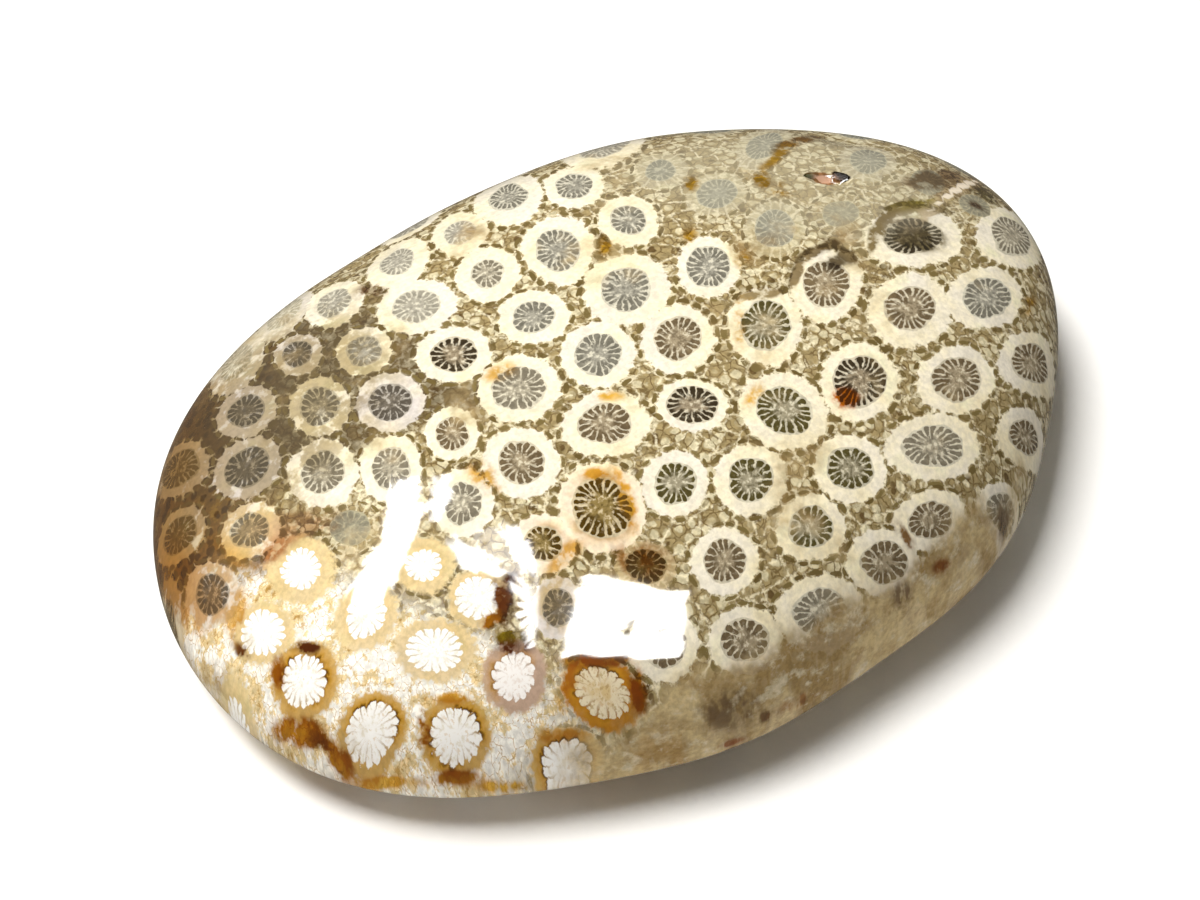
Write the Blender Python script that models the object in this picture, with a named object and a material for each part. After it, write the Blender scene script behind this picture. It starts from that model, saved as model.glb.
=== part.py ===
"""A polished palm stone of fossil coral, lying on its ground underside.

The stone is one solid: a domed egg-shaped oval that is widest a few millimetres above the surface it
lies on, with a rounded belly below that is ground flat where it rests. Three small hollows mark it: a
shallow dent on the far shoulder, a chip beside the narrower end and a deep slot-like pit near that chip.

Units are metres, +Z is up, +X runs along the stone towards its narrower end, and the origin is on the
resting surface under the middle of the outline.
"""
import math
from typing import NamedTuple

import bmesh
import bpy
from mathutils import Vector

# Driving dimensions of the stone
LENGTH_RADIUS = 0.0344
WIDTH_RADIUS = 0.0234
HEIGHT = 0.0190
GIRDLE_HEIGHT = 0.0040
BELLY_DEPTH = 0.0055
# Exponents of the side profile above and below the widest line: 2 is an ellipse, more is fuller
DOME_FULLNESS = 2.4
BELLY_FULLNESS = 2.0


class Wave(NamedTuple):
    """A regular wave round the outline.

    It has so many crests in a turn, a height as a share of the radius, and the bearing of one crest.
    """

    crests: int
    height: float
    bearing_deg: float


# Together these turn the oval into the stone's egg shape with its blunt corners
OUTLINE_WAVES = (
    Wave(3, 0.016, 22.0),
    Wave(4, 0.005, 43.0),
    Wave(5, 0.010, 4.0),
    Wave(6, 0.007, 15.0),
    Wave(7, 0.008, 1.0),
)


class Hollow(NamedTuple):
    """A hollow in the dome, placed by bearing and height and sized along and across its own long axis."""

    bearing_deg: float
    height: float
    depth: float
    half_length: float
    half_width: float
    turn_deg: float
    # Exponent of its section: 2 is a soft dish, and more is a flat floor between steep walls
    steepness: float


SHOULDER_DENT = Hollow(119.0, 0.0142, 0.00045, 0.0035, 0.0026, 29.0, 2.0)
EDGE_CHIP = Hollow(21.0, 0.0142, 0.00035, 0.0026, 0.0016, -50.0, 2.0)
PIT = Hollow(13.5, 0.01705, 0.00070, 0.0013, 0.0006, -32.0, 4.0)
# How far a hollow still moves the skin, in half lengths from its middle
HOLLOW_REACH = 3.0

# Mesh fineness: the ball that the stone is shaped from, and the finer patch round the pit
BALL_SUBDIVISIONS = 5
PATCH_ANGLES_DEG = (11.0, 7.0)
OUTLINE_SAMPLES = 720

STONE_COLOUR = (0.52, 0.46, 0.34, 1.0)
STONE_ROUGHNESS = 0.12
SMOOTH_ANGLE = math.radians(40.0)


def rim_radius(bearing):
    """Distance from the middle axis to the widest line of the stone, at a bearing in radians."""
    along = WIDTH_RADIUS * math.cos(bearing)
    across = LENGTH_RADIUS * math.sin(bearing)
    oval = LENGTH_RADIUS * WIDTH_RADIUS / math.hypot(along, across)
    swell = 0.0
    for wave in OUTLINE_WAVES:
        swell += wave.height * math.cos(wave.crests * (bearing - math.radians(wave.bearing_deg)))
    return oval * (1.0 + swell)


def outline_middle():
    """Middle of the box round the widest line, which the stone is centred on."""
    bearings = [2.0 * math.pi * i / OUTLINE_SAMPLES for i in range(OUTLINE_SAMPLES)]
    xs = [rim_radius(b) * math.cos(b) for b in bearings]
    ys = [rim_radius(b) * math.sin(b) for b in bearings]
    return Vector(((min(xs) + max(xs)) / 2.0, (min(ys) + max(ys)) / 2.0, 0.0))


def stone_point(direction, middle):
    """Point of the stone's skin that a direction from the ball's centre is moved to."""
    bearing = math.atan2(direction.y, direction.x)
    level = math.hypot(direction.x, direction.y)
    rise = abs(direction.z)
    fullness = DOME_FULLNESS if direction.z >= 0.0 else BELLY_FULLNESS
    extent = HEIGHT - GIRDLE_HEIGHT if direction.z >= 0.0 else -BELLY_DEPTH
    size = (level**fullness + rise**fullness) ** (-1.0 / fullness)
    reach = rim_radius(bearing) * level * size
    z = GIRDLE_HEIGHT + extent * rise * size
    return Vector((reach * math.cos(bearing), reach * math.sin(bearing), z)) - middle


def dome_direction(hollow):
    """Direction from the ball's centre that leads to a hollow's place on the dome."""
    rise = (hollow.height - GIRDLE_HEIGHT) / (HEIGHT - GIRDLE_HEIGHT)
    level = (1.0 - rise**DOME_FULLNESS) ** (1.0 / DOME_FULLNESS)
    bearing = math.radians(hollow.bearing_deg)
    return Vector((level * math.cos(bearing), level * math.sin(bearing), rise)).normalized()


def refine_patch(bm, centre):
    """Splits the ball's faces round a direction, once for each angle of the patch."""
    for angle_deg in PATCH_ANGLES_DEG:
        limit = math.cos(math.radians(angle_deg))
        near = {v for v in bm.verts if v.co.normalized().dot(centre) > limit}
        edges = [e for e in bm.edges if e.verts[0] in near and e.verts[1] in near]
        bmesh.ops.subdivide_edges(bm, edges=edges, cuts=1, use_grid_fill=True)
        bmesh.ops.triangulate(bm, faces=[f for f in bm.faces if len(f.verts) > 3])


def press_hollow(bm, hollow, middle):
    """Sinks the skin into the stone inside a hollow's outline."""
    centre = stone_point(dome_direction(hollow), middle)
    turn = math.radians(hollow.turn_deg)
    long_axis = Vector((math.cos(turn), math.sin(turn), 0.0))
    bm.normal_update()
    moves = []
    for vert in bm.verts:
        offset = vert.co - centre
        across = vert.normal.cross(long_axis).normalized()
        along = across.cross(vert.normal)
        far = offset.dot(along) / hollow.half_length
        wide = offset.dot(across) / hollow.half_width
        share = math.hypot(far, wide)
        if offset.length < HOLLOW_REACH * hollow.half_length:
            moves.append((vert, vert.normal * (-hollow.depth * math.exp(-(share**hollow.steepness)))))
    for vert, move in moves:
        vert.co += move


def build_stone_mesh():
    """The stone as one closed body, ground flat at the height of the surface it rests on."""
    middle = outline_middle()
    bm = bmesh.new()
    bmesh.ops.create_icosphere(bm, subdivisions=BALL_SUBDIVISIONS, radius=1.0)
    refine_patch(bm, dome_direction(PIT))
    for vert in bm.verts:
        vert.co = stone_point(vert.co.normalized(), middle)
    for hollow in (SHOULDER_DENT, EDGE_CHIP, PIT):
        press_hollow(bm, hollow, middle)
    cut = bmesh.ops.bisect_plane(
        bm,
        geom=bm.verts[:] + bm.edges[:] + bm.faces[:],
        dist=1e-7,
        plane_co=(0.0, 0.0, 0.0),
        plane_no=(0.0, 0.0, -1.0),
        clear_outer=True,
    )
    rim_edges = [e for e in cut["geom_cut"] if isinstance(e, bmesh.types.BMEdge)]
    bmesh.ops.contextual_create(bm, geom=rim_edges)
    bmesh.ops.recalc_face_normals(bm, faces=bm.faces[:])
    bmesh.ops.triangulate(bm, faces=[f for f in bm.faces if len(f.verts) > 3])
    mesh = bpy.data.meshes.new("coral_stone")
    bm.to_mesh(mesh)
    bm.free()
    mesh.shade_smooth()
    mesh.set_sharp_from_angle(angle=SMOOTH_ANGLE)
    return mesh


def stone_material():
    """Polished silicified coral, in its mean colour."""
    material = bpy.data.materials.new("polished_coral")
    material.use_nodes = True
    shader = material.node_tree.nodes["Principled BSDF"]
    shader.inputs["Base Color"].default_value = STONE_COLOUR
    shader.inputs["Roughness"].default_value = STONE_ROUGHNESS
    shader.inputs["Metallic"].default_value = 0.0
    return material


def main():
    """Clears the scene and builds the stone."""
    for old in list(bpy.data.objects):
        bpy.data.objects.remove(old, do_unlink=True)
    mesh = build_stone_mesh()
    mesh.materials.append(stone_material())
    stone = bpy.data.objects.new("coral_stone", mesh)
    bpy.context.scene.collection.objects.link(stone)


main()
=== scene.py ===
"""Looks of a palm stone of fossil coral: its polished skin, its coral cups, the stains between them and a painted
shade in its pit.

The stone is one solid. Its skin is shaped again here, finely, from the same driving dimensions as the solid, and the
coral is painted on it by a material: every cup is a tube that runs down through the stone, so it is placed on a plan
seen from above, and the sides and the underside show the same tubes cut across and along.

Lengths are in metres, +Z is up. Places on the stone that were read from the photograph are pixels of its 1200 by 900
frame, and are cast from the camera onto the skin.
"""

import logging
import math
import random
from dataclasses import dataclass, field
from enum import Enum
from typing import NamedTuple

import bmesh
import bpy
import numpy as np
from mathutils import Matrix, Vector, noise
from mathutils.bvhtree import BVHTree


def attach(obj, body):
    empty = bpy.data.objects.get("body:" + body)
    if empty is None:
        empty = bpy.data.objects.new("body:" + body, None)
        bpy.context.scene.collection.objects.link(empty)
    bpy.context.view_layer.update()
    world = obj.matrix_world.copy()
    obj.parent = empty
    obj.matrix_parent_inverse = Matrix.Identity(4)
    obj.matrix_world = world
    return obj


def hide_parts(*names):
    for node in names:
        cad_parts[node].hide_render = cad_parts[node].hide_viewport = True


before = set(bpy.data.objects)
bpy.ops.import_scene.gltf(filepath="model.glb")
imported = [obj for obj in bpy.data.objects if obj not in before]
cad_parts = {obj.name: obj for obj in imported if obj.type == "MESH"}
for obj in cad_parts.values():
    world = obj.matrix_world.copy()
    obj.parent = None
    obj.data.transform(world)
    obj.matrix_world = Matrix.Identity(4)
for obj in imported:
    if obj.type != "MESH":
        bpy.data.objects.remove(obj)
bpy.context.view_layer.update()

LOG = logging.getLogger("coral_stone")
NODE = "coral_stone"
SLOT = "polished_coral"
MM = 0.001
Socket = bpy.types.NodeSocket
Colour = tuple[float, float, float]


def paint(red: float, green: float, blue: float) -> Colour:
    """A colour as the shader wants it.

    Args:
        red: Red as seen on a screen, from 0 to 255.
        green: Green, from 0 to 255.
        blue: Blue, from 0 to 255.

    Returns:
        The same colour in linear light, from 0 to 1.
    """
    shares = (value / 255.0 for value in (red, green, blue))
    return tuple(s / 12.92 if s <= 0.04045 else ((s + 0.055) / 1.055) ** 2.4 for s in shares)


@dataclass
class PhotoView:
    """The camera, where the photograph was taken from, and the way from its pixels to the stone."""

    azimuth_deg: float = -32.0
    elevation_deg: float = 52.0
    distance: float = 180.0 * MM
    aim: Vector = field(default_factory=lambda: Vector((-2.74, 0.60, 6.0)) * MM)
    lens_mm: float = 78.3
    sensor_mm: float = 36.0
    wide_px: int = 1200
    high_px: int = 900

    def back(self) -> Vector:
        """Direction from the stone to the camera."""
        turn = math.radians(self.azimuth_deg)
        rise = math.radians(self.elevation_deg)
        return Vector((math.sin(turn) * math.cos(rise), -math.cos(turn) * math.cos(rise), math.sin(rise)))

    def place(self) -> Vector:
        """Where the camera stands."""
        return self.aim + self.back() * self.distance

    def ray(self, x: float, y: float) -> Vector:
        """Direction that a pixel looks in.

        Args:
            x: Pixels from the photograph's left edge.
            y: Pixels from its top edge.

        Returns:
            A unit vector in the stone's frame.
        """
        forward = -self.back()
        right = forward.cross(Vector((0.0, 0.0, 1.0))).normalized()
        up = right.cross(forward)
        pixel = self.sensor_mm / self.lens_mm / self.wide_px
        across = (x - self.wide_px / 2.0) * pixel
        above = (self.high_px / 2.0 - y) * pixel
        return (forward + right * across + up * above).normalized()

    def build(self) -> bpy.types.Object:
        """Adds the camera to the scene.

        Returns:
            The camera's object.
        """
        data = bpy.data.cameras.new("photo_camera")
        data.lens = self.lens_mm
        data.sensor_width = self.sensor_mm
        data.clip_start = 10.0 * MM
        data.clip_end = 20.0
        camera = bpy.data.objects.new("photo_camera", data)
        camera.location = self.place()
        camera.rotation_mode = "QUATERNION"
        camera.rotation_quaternion = (-self.back()).to_track_quat("-Z", "Y")
        bpy.context.scene.collection.objects.link(camera)
        bpy.context.scene.camera = camera
        return camera


class Wave(NamedTuple):
    """A regular wave round the outline: crests in a turn, height as a share of the radius, one crest's bearing."""

    crests: int
    height: float
    bearing_deg: float


class Hollow(NamedTuple):
    """A hollow in the dome, placed by bearing and height and sized along and across its own long axis."""

    bearing_deg: float
    height: float
    depth: float
    half_length: float
    half_width: float
    turn_deg: float
    steepness: float


@dataclass
class StoneForm:
    """The stone's skin, from the same driving dimensions as the solid that it covers."""

    length_radius: float = 34.4 * MM
    width_radius: float = 23.4 * MM
    height: float = 19.0 * MM
    girdle_height: float = 4.0 * MM
    belly_depth: float = 5.5 * MM
    dome_fullness: float = 2.4
    belly_fullness: float = 2.0
    waves: tuple[Wave, ...] = (
        Wave(3, 0.016, 22.0),
        Wave(4, 0.005, 43.0),
        Wave(5, 0.010, 4.0),
        Wave(6, 0.007, 15.0),
        Wave(7, 0.008, 1.0),
    )
    shoulder_dent: Hollow = Hollow(119.0, 14.2 * MM, 0.45 * MM, 3.5 * MM, 2.6 * MM, 29.0, 2.0)
    edge_chip: Hollow = Hollow(21.0, 14.2 * MM, 0.35 * MM, 2.6 * MM, 1.6 * MM, -50.0, 2.0)
    pit: Hollow = Hollow(13.5, 17.05 * MM, 0.70 * MM, 1.3 * MM, 0.6 * MM, -32.0, 4.0)
    hollow_reach: float = 3.0
    ball_subdivisions: int = 7
    quick_subdivisions: int = 6
    patch_angles_deg: tuple[float, ...] = (9.0, 6.0)
    outline_samples: int = 720

    def rim_radius(self, bearing: float) -> float:
        """Distance from the middle axis to the widest line of the stone.

        Args:
            bearing: Direction round the axis, in radians from +X.

        Returns:
            The distance in metres.
        """
        along = self.width_radius * math.cos(bearing)
        across = self.length_radius * math.sin(bearing)
        oval = self.length_radius * self.width_radius / math.hypot(along, across)
        swell = 0.0
        for wave in self.waves:
            swell += wave.height * math.cos(wave.crests * (bearing - math.radians(wave.bearing_deg)))
        return oval * (1.0 + swell)

    def middle(self) -> Vector:
        """Middle of the box round the widest line, which the stone is centred on."""
        bearings = [2.0 * math.pi * i / self.outline_samples for i in range(self.outline_samples)]
        xs = [self.rim_radius(b) * math.cos(b) for b in bearings]
        ys = [self.rim_radius(b) * math.sin(b) for b in bearings]
        return Vector(((min(xs) + max(xs)) / 2.0, (min(ys) + max(ys)) / 2.0, 0.0))

    def skin_point(self, direction: Vector, middle: Vector) -> Vector:
        """Point of the skin that a direction from the ball's centre is moved to.

        Args:
            direction: Unit vector from the ball's centre.
            middle: What middle() gives.

        Returns:
            The point in metres.
        """
        bearing = math.atan2(direction.y, direction.x)
        level = math.hypot(direction.x, direction.y)
        rise = abs(direction.z)
        upper = direction.z >= 0.0
        fullness = self.dome_fullness if upper else self.belly_fullness
        extent = self.height - self.girdle_height if upper else -self.belly_depth
        size = (level**fullness + rise**fullness) ** (-1.0 / fullness)
        reach = self.rim_radius(bearing) * level * size
        z = self.girdle_height + extent * rise * size
        return Vector((reach * math.cos(bearing), reach * math.sin(bearing), z)) - middle

    def dome_direction(self, hollow: Hollow) -> Vector:
        """Direction from the ball's centre that leads to a hollow's place on the dome."""
        rise = (hollow.height - self.girdle_height) / (self.height - self.girdle_height)
        level = (1.0 - rise**self.dome_fullness) ** (1.0 / self.dome_fullness)
        bearing = math.radians(hollow.bearing_deg)
        return Vector((level * math.cos(bearing), level * math.sin(bearing), rise)).normalized()

    def refine_patch(self, bm: bmesh.types.BMesh, centre: Vector) -> None:
        """Splits the ball's faces round a direction, once for each angle of the patch.

        Args:
            bm: The ball.
            centre: Unit vector to the middle of the patch.
        """
        for angle_deg in self.patch_angles_deg:
            limit = math.cos(math.radians(angle_deg))
            near = {v for v in bm.verts if v.co.normalized().dot(centre) > limit}
            edges = [e for e in bm.edges if e.verts[0] in near and e.verts[1] in near]
            bmesh.ops.subdivide_edges(bm, edges=edges, cuts=1, use_grid_fill=True)
            bmesh.ops.triangulate(bm, faces=[f for f in bm.faces if len(f.verts) > 3])

    def press_hollow(self, bm: bmesh.types.BMesh, hollow: Hollow, middle: Vector) -> None:
        """Sinks the skin into the stone inside a hollow's outline.

        Args:
            bm: The skin.
            hollow: The hollow to press.
            middle: What middle() gives.
        """
        centre = self.skin_point(self.dome_direction(hollow), middle)
        turn = math.radians(hollow.turn_deg)
        long_axis = Vector((math.cos(turn), math.sin(turn), 0.0))
        bm.normal_update()
        moves = []
        for vert in bm.verts:
            offset = vert.co - centre
            if offset.length > self.hollow_reach * hollow.half_length:
                continue
            across = vert.normal.cross(long_axis).normalized()
            along = across.cross(vert.normal)
            far = offset.dot(along) / hollow.half_length
            wide = offset.dot(across) / hollow.half_width
            share = math.hypot(far, wide)
            moves.append((vert, vert.normal * (-hollow.depth * math.exp(-(share**hollow.steepness)))))
        for vert, move in moves:
            vert.co += move

    def build(self) -> bpy.types.Object:
        """Shapes the skin as one closed mesh, ground flat at the height of the surface it rests on.

        Returns:
            The stone's object, at the origin.
        """
        middle = self.middle()
        fineness = self.ball_subdivisions
        bm = bmesh.new()
        bmesh.ops.create_icosphere(bm, subdivisions=fineness, radius=1.0)
        self.refine_patch(bm, self.dome_direction(self.pit))
        for vert in bm.verts:
            vert.co = self.skin_point(vert.co.normalized(), middle)
        for hollow in (self.shoulder_dent, self.edge_chip, self.pit):
            self.press_hollow(bm, hollow, middle)
        cut = bmesh.ops.bisect_plane(
            bm,
            geom=bm.verts[:] + bm.edges[:] + bm.faces[:],
            dist=1e-7,
            plane_co=(0.0, 0.0, 0.0),
            plane_no=(0.0, 0.0, -1.0),
            clear_outer=True,
        )
        rim_edges = [e for e in cut["geom_cut"] if isinstance(e, bmesh.types.BMEdge)]
        base = bmesh.ops.contextual_create(bm, geom=rim_edges)["faces"]
        bmesh.ops.recalc_face_normals(bm, faces=bm.faces[:])
        self.fill_base(bm, base)
        mesh = bpy.data.meshes.new("coral_skin")
        bm.to_mesh(mesh)
        bm.free()
        mesh.shade_smooth()
        stone = bpy.data.objects.new("coral_skin", mesh)
        bpy.context.scene.collection.objects.link(stone)
        return stone

    def fill_base(self, bm: bmesh.types.BMesh, base: list[bmesh.types.BMFace]) -> None:
        """Splits the flat underside by planes, so that the coral's plan has points to hold on to there.

        Args:
            bm: The skin, with one many-sided face as its underside.
            base: That face; not used.
        """
        step = 1.0 * MM
        for normal, reach in ((Vector((1.0, 0.0, 0.0)), self.length_radius), (Vector((0.0, 1.0, 0.0)), self.width_radius)):
            count = int(reach / step)
            for i in range(-count, count + 1):
                flat = [f for f in bm.faces if abs(f.normal.z + 1.0) < 1e-6 and abs(f.calc_center_median().z) < 1e-6]
                edges = {e for f in flat for e in f.edges}
                verts = {v for f in flat for v in f.verts}
                bmesh.ops.bisect_plane(
                    bm,
                    geom=list(verts) + list(edges) + flat,
                    dist=1e-6,
                    plane_co=normal * (i * step),
                    plane_no=normal,
                )
        bmesh.ops.triangulate(bm, faces=[f for f in bm.faces if len(f.verts) > 3])


class CupStyle(NamedTuple):
    """How a cup of the coral is coloured and cut.

    Attributes:
        slot: Colour of the gaps between its radial plates.
        core: Colour of its middle.
        wall: Colour of the ring round it.
        crisp: How strongly the gaps stand out, from 0 to 1.
        ringed: How much of the ring is left, from 0 to 1.
        chalky: 1 where the gaps are filled with white and the ring is stained instead.
        border: How dark a stain lines the ring's inner edge, from 0 to 1.
    """

    slot: Colour
    core: Colour
    wall: Colour
    crisp: float = 1.0
    ringed: float = 1.0
    chalky: float = 0.0
    border: float = 0.0


CREAM = paint(244, 238, 215)
GREY_CREAM = paint(222, 216, 205)


class Kind(Enum):
    """The kinds of cup on this stone."""

    CRISP = CupStyle(paint(58, 48, 32), paint(146, 132, 108), CREAM)
    OLIVE = CupStyle(paint(78, 70, 36), paint(150, 142, 118), CREAM)
    TAN = CupStyle(paint(96, 80, 56), paint(156, 142, 116), CREAM, 0.9)
    SOFT = CupStyle(paint(104, 96, 80), paint(166, 158, 138), CREAM, 0.75)
    GREY = CupStyle(paint(94, 90, 78), paint(154, 150, 136), CREAM, 0.7)
    PLAIN = CupStyle(paint(130, 125, 110), paint(168, 163, 148), CREAM, 0.5)
    SMOKY = CupStyle(paint(72, 66, 58), paint(112, 104, 92), GREY_CREAM, 0.7)
    VEILED = CupStyle(paint(98, 97, 86), paint(142, 141, 128), paint(206, 200, 172), 0.5, 0.45)
    GHOST = CupStyle(paint(120, 115, 98), paint(146, 141, 120), paint(186, 178, 146), 0.4, 0.1)
    EARTHY = CupStyle(paint(84, 64, 16), paint(120, 100, 52), paint(214, 202, 178), 0.3, 0.9)
    AMBER = CupStyle(paint(74, 54, 10), paint(138, 118, 70), paint(248, 235, 206), 1.0, 1.0, 0.0, 0.5)
    RUSTY = CupStyle(paint(66, 48, 16), paint(104, 82, 40), paint(206, 186, 140), 1.0, 0.55)
    BUFF = CupStyle(paint(164, 156, 132), paint(188, 180, 156), paint(228, 222, 206), 0.6, 0.9)
    CHALK = CupStyle(paint(253, 252, 248), paint(240, 235, 222), paint(226, 206, 160), 1.0, 1.0, 1.0, 0.15)
    CHALK_OCHRE = CupStyle(paint(252, 250, 246), paint(236, 230, 216), paint(202, 166, 98), 1.0, 1.0, 1.0, 1.0)
    CHALK_AMBER = CupStyle(paint(228, 216, 186), paint(192, 170, 128), paint(180, 122, 30), 1.0, 1.0, 1.0, 1.0)
    CHALK_ROSE = CupStyle(paint(252, 248, 244), paint(236, 226, 218), paint(196, 168, 142), 1.0, 1.0, 1.0, 0.7)


class Cup(NamedTuple):
    """One cup of the coral as seen from the camera, in pixels of the photograph.

    Attributes:
        x: Middle of the cup, from the left.
        y: Middle of the cup, from the top.
        long: Half its length, inside its ring.
        short: Half its width, inside its ring.
        tilt_deg: Turn of its length, clockwise from the photograph's x direction.
        wall: Width of its ring.
        kind: Its colours and cut.
    """

    x: float
    y: float
    long: float
    short: float
    tilt_deg: float
    wall: float
    kind: Kind


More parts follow.
